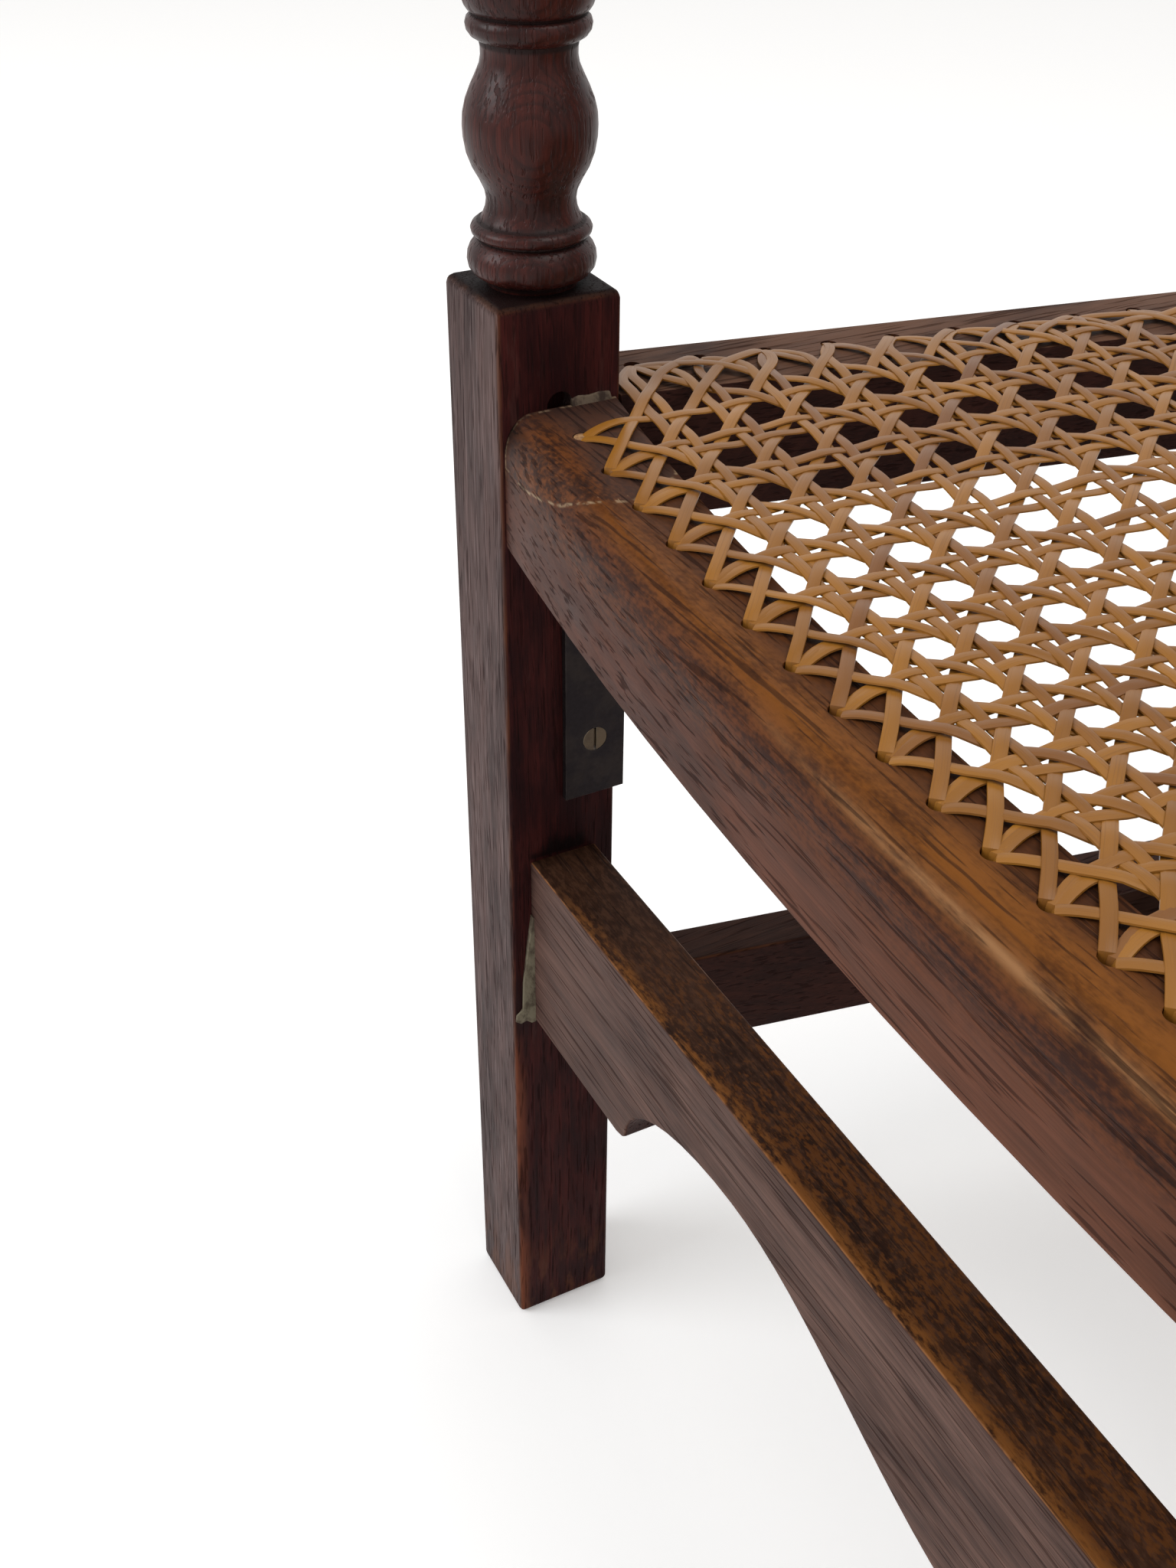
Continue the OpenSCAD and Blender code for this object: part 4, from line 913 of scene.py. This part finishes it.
def strand_path(track, name, inside, height, holes, hole_top, onward=lambda x, y: 0):
    """Samples a strand's track, keeps the stretch inside the frame, and leads each end to the
    nearest hole and down it. track gives x, y and the strand's height over the weave's middle.
    onward says how far a strand that ends at x, y favours a hole ahead of it. Near a hole the
    weave comes down to the wood, and the passes lie on one another."""
    run, best = [], []
    for step in range(-TRACK_CELLS * CELL_STEPS, TRACK_CELLS * CELL_STEPS):
        x, y, rise = track(step / CELL_STEPS)
        if inside(x, y):
            run.append((x, y, rise))
        else:
            best, run = max(best, run, key=len), []
    best = max(best, run, key=len)
    if len(best) < 7:
        return None
    if "diagonals" in name and math.dist(best[0][:2], best[-1][:2]) < SHORTEST_DIAGONAL:
        return None
    ends = []
    for last, before in ((best[0], best[6]), (best[-1], best[-7])):
        ahead = Vector((last[0] - before[0], last[1] - before[1])).normalized() * onward(*last[:2])
        ends.append(min(holes, key=lambda hole: math.dist(hole, last[:2])
                        - ahead.x * (hole[0] - last[0]) - ahead.y * (hole[1] - last[1])))
    gaps = [math.dist(hole, last[:2]) for hole, last in zip(ends, (best[0], best[-1]))]
    if any(gap > (FAR_REACH if hole[1] > FAR_HALF else REACH) for gap, hole in zip(gaps, ends)):
        return None
    stacked, aside = STACKED[name], IN_HOLE[name]
    astray = [max(0, gap - STRAY) for gap in gaps]
    path = []
    for x, y, rise in best:
        away = [math.dist(hole, (x, y)) for hole in ends]
        clear = min(away[0] - STRAY_WEIGHT * astray[0], away[1] - STRAY_WEIGHT * astray[1])
        if clear < LAST_LOOSE:
            continue
        fade = min(1, (clear - LAST_LOOSE) / FADE_OVER)
        down = SETTLE_DOWN * max(0, 1 - min(away) / SETTLE_OVER)
        path.append(Vector((x, y, height(x, y) - down + rise * fade + stacked * (1 - fade))))
    if len(path) < 4:
        return None
    for centre in ends:
        path = path[::-1]
        hole = Vector((centre[0] + aside[0], centre[1] + aside[1], hole_top))
        last = path[-1]
        toward = Vector((hole.x - last.x, hole.y - last.y, 0)).normalized()
        rim = hole - toward * RIM + Vector((0, 0, 0.42 + stacked * 0.85))
        steps = max(2, round((rim - last).length / LEAD_STEP))
        lead = [last.lerp(rim, k / steps) for k in range(1, steps)]
        path = path + lead + [rim, hole - toward * 0.8 + Vector((0, 0, -0.3 + stacked * 0.7)),
                              hole + Vector((0, 0, -2.6)), hole + toward * 0.3 + Vector((0, 0, -6.5))]
        for _ in range(3):
            for k in range(max(1, len(path) - steps - 8), len(path) - 3):
                path[k] = path[k] / 2 + (path[k - 1] + path[k + 1]) / 4
    return path


def lay_strands(name, paths, half_width, seed, to_chair):
    """One mesh of cane strands. A UV map runs along each strand, and an attribute gives its tone.
    Each strand is cut a little wider or narrower than the next, and wanders by a hair."""
    chance = random.Random(seed)
    vertices, faces, lengths, tone = [], [], [], []
    ring = len(STRAND)
    for points in paths:
        shade = chance.random()
        half = half_width * chance.uniform(0.94, 1.06)
        sway, tilt, phase = chance.uniform(0.05, 0.28), chance.uniform(-0.12, 0.12), chance.uniform(0, 6)
        run = 0
        for k, point in enumerate(points):
            ahead = points[min(k + 1, len(points) - 1)] - points[max(k - 1, 0)]
            run += (point - points[k - 1]).length if k else 0
            across = Vector((ahead.y, -ahead.x, 0)).normalized()
            over = across.cross(ahead).normalized()
            if over.z < 0:
                over = -over
            lean_over = tilt * math.sin(run / 23 + phase)
            centre = point + across * sway * math.sin(run / 31 + phase)
            side, crown = across + over * lean_over, over - across * lean_over
            for s, u in STRAND:
                vertices.append(to_chair @ ((centre + side * (s * half) + crown * u) * MM))
                lengths.append((run * MM, s * half * MM))
                tone.append(shade)
        start = len(vertices) - ring * len(points)
        for k in range(len(points) - 1):
            for m in range(ring):
                n = (m + 1) % ring
                a, b = start + k * ring, start + (k + 1) * ring
                faces.append((a + m, a + n, b + n, b + m))
        faces.append(tuple(start + m for m in reversed(range(ring))))
        faces.append(tuple(len(vertices) - ring + m for m in range(ring)))
    mesh = bpy.data.meshes.new(name)
    mesh.from_pydata(vertices, [], faces)
    layer = mesh.uv_layers.new(name="strand")
    for loop in mesh.loops:
        layer.data[loop.index].uv = lengths[loop.vertex_index]
    mesh.attributes.new("tone", "FLOAT", "POINT").data.foreach_set("value", tone)
    piece = add_object(name, mesh)
    open_up(piece)
    bpy.ops.mesh.normals_make_consistent(inside=False)
    close_up()
    bpy.ops.object.shade_smooth_by_angle(angle=math.radians(50))
    return piece


PAIR_X = 3.4
PAIR_J = 0.376
UNDER_OVER = 0.42
DIAGONAL_RISE = 0.85


def weave(point, columns, rows, first_row, last_row, parted=lambda x, y, side: 1):
    """Tracks of the six passes. A track maps its own count of cells to x, y and height. parted
    gives how far the two strands of an upright pair stand apart."""
    def upright(i, side):
        def track(j):
            x, y = point(i, j)
            return (x + side * PAIR_X * parted(x, y, side), y,
                    -side * UNDER_OVER * math.sin(math.tau * (0.5 - j % 1)))
        return track

    def level(j, side):
        def track(t):
            x, y = point(t, j + side * PAIR_J)
            return x, y, side * UNDER_OVER * math.sin(math.tau * (t % 1))
        return track

    def diagonal(i, j, way):
        def track(t):
            x, y = point(i + t, j + way * t)
            return x, y, DIAGONAL_RISE * way * math.cos(math.tau * (t % 1))
        return track

    uprights = [upright(i, side) for i in range(-columns, columns + 1) for side in (-1, 1)]
    levels = [level(j, side) for j in range(first_row, last_row + 1) for side in (-1, 1)
              if (j, side) not in [(first_row, -1), (last_row, 1)]]
    span = 2 * columns + rows + 8
    rising, falling = [[diagonal(i, first_row - 1, way) for i in range(-span, span + 1)] for way in (1, -1)]
    return {"uprights": uprights, "levels": levels, "rising_diagonals": rising, "falling_diagonals": falling}


def cane_finish():
    """Split cane: golden, glossy outside, with fine lines along each strand and some darker lengths."""
    finish = Finish("split_cane", Specular_IOR_Level=0.32)
    u, v, _ = finish.split(finish.uv)
    tone = finish.node("Attribute", {"attribute_name": "tone"}, {}, output=2)
    x, y, z = finish.split(finish.place)
    length = finish.noise(u * 14, tone * 40, 0)
    line = finish.noise(u * 35, v * 2600, tone * 30)
    cloud = finish.noise(x * 18, y * 18, z * 18)
    finish.colour = finish.mix(length.rise(0.3, 0.7), paint(124, 79, 26), paint(151, 101, 36))
    finish.coat(tone.rise(0.8, 0.97) * 0.6, 104, 64, 36)
    finish.coat(cloud.rise(0.5, 0.72) * 0.3, 120, 76, 36)
    finish.coat(line.rise(0.54, 0.72) * 0.35, 104, 66, 32)
    return finish.finished(line * 0.7 + length * 0.3, 0.00012, 0.5, 0.27 + line * 0.16)


def seat_parted(x, y, side):
    """Both strands of a pair leave one hole together, and the right one follows the left a while."""
    front, rear = y - front_line(x), REAR_LINE - y
    share = max(0, min(1, front / 9, rear / 10))
    if side > 0:
        apart = max(0, min(1, (front - 11) / 19))
        share *= -0.62 + 1.62 * apart * apart * (3 - 2 * apart)
    return share


def at_sides(x, y):
    """Along the side rails the diagonals cross just before they end, and run on to the next hole."""
    return FAVOUR_AHEAD if SIDES_FROM < y < SIDES_TO and abs(x) > side_line(y) - 8 else 0


def cane_panel(title, node, passes, seed, to_chair, *frame_of_panel):
    """Lays the six passes of a panel as four pieces, and leaves out strands too short to be laid."""
    for number, (name, tracks) in enumerate(passes.items()):
        paths = [strand_path(track, name, *frame_of_panel) for track in tracks]
        piece = lay_strands(title + name, [path for path in paths if path], HALF_WIDTH[name],
                            seed + number, to_chair)
        settle(piece, title + name, cane, node)


cane = cane_finish()
chair = Matrix.Translation((0, LEG_FRONT, 0))
seat_weave = weave(seat_point, FRONT_HOLES, ROWS, -1, LAST_ROW, seat_parted)
cane_panel("seat_cane_", "cane_seat", seat_weave, 11, chair, in_seat, seat_height, SEAT_HOLES, SEAT_LEVEL,
           at_sides)


# Cane back. The same six passes, on a square grid of holes in the stiles, the crest and the
# lower back rail. The panel stands flat on the front of its frame and leans with the posts.
BACK_PITCH = 20.8
BACK_COLUMNS, BACK_ROWS = 6, 8
PANEL_LOW, PANEL_HALF = 112, 133
PANEL_MID, PANEL_RISE = (PANEL_LOW + CREST_LOW) / 2, (CREST_LOW - PANEL_LOW) / 2
HOLE_IN = 14
BACK_FACE, CANE_SINK = 8, 2.4


def in_back(x, u):
    return abs(x) < PANEL_HALF + HOLE_IN - EDGE and abs(u) < PANEL_RISE + HOLE_IN - EDGE


BACK_HOLES = [(i * BACK_PITCH, way * (PANEL_RISE + HOLE_IN))
              for i in range(-BACK_COLUMNS, BACK_COLUMNS + 1) for way in (-1, 1)]
BACK_HOLES += [(way * (PANEL_HALF + HOLE_IN), j * ROW)
               for j in range(-BACK_ROWS, BACK_ROWS + 1) for way in (-1, 1)]
face_out = Matrix(((1, 0, 0, 0), (0, 0, -1, (BACK_FACE - CANE_SINK) * MM), (0, 1, 0, PANEL_MID * MM),
                   (0, 0, 0, 1)))
back_weave = weave(lambda i, j: (i * BACK_PITCH, j * ROW), BACK_COLUMNS, 2 * BACK_ROWS + 1,
                   -BACK_ROWS, BACK_ROWS)
cane_panel("back_cane_", "cane_back", back_weave, 31, lean @ face_out, in_back, lambda x, u: 0,
           BACK_HOLES, -2.0)


# Pegs. Pegs of split softwood are driven into the corner holes of the seat and the back, where
# they wedge the ends of the cane, and are cut off flush.
peg_wood = Finish("peg_wood", Roughness=0.75)
x, y, z = peg_wood.split(peg_wood.place)
fibre = peg_wood.noise(x * 900, y * 900, z * 60)
peg_wood.colour = peg_wood.mix(fibre.rise(0.35, 0.65), paint(120, 84, 52), paint(160, 122, 80))
softwood = peg_wood.finished(fibre, 0.0002, 0.6)
for node in ["seat_cane_pegs", "back_cane_pegs"]:
    plane_and_settle(node, node.replace("cane_", "corner_"), softwood, "peg", 0.6, segments=2)


# Brackets. Flat steel bent to a right angle and screwed to the inner face of each front leg and up
# into the front rail, an old repair. The steel is blackened, with a bare line along its edges.
def old_steel(name, base, edge, roughness):
    finish = Finish(name, Metallic=0.85)
    x, y, z = finish.split(finish.place)
    cloud = finish.noise(x * 90, y * 90, z * 90, detail=4, roughness=0.6)
    speck = finish.noise(x * 700, y * 700, z * 700)
    bare = squareness(*finish.split(finish.normal)).rise(0.98, 0.85) * cloud.rise(0.35, 0.55)
    finish.colour = finish.mix(cloud.rise(0.4, 0.65) * 0.5, base, paint(52, 44, 40))
    finish.lay(bare * 0.6, edge)
    return finish.finished(cloud * 0.5 + speck * 0.5, 0.0002, 0.5, roughness + (speck - 0.5) * 0.3)


bracket_steel = old_steel("blackened_steel", paint(34, 28, 30), paint(150, 140, 132), 0.55)
screw_steel = old_steel("dull_screw_steel", paint(92, 78, 62), paint(160, 146, 124), 0.45)
for hand in ["left", "right"]:
    plane_and_settle("angle_bracket_" + hand, "bracket_" + hand, bracket_steel, "bracket_steel", 0.5,
                     segments=2)
plane_and_settle("bracket_screws", "slotted_screws", screw_steel, "screw_steel", 0.25, segments=2)
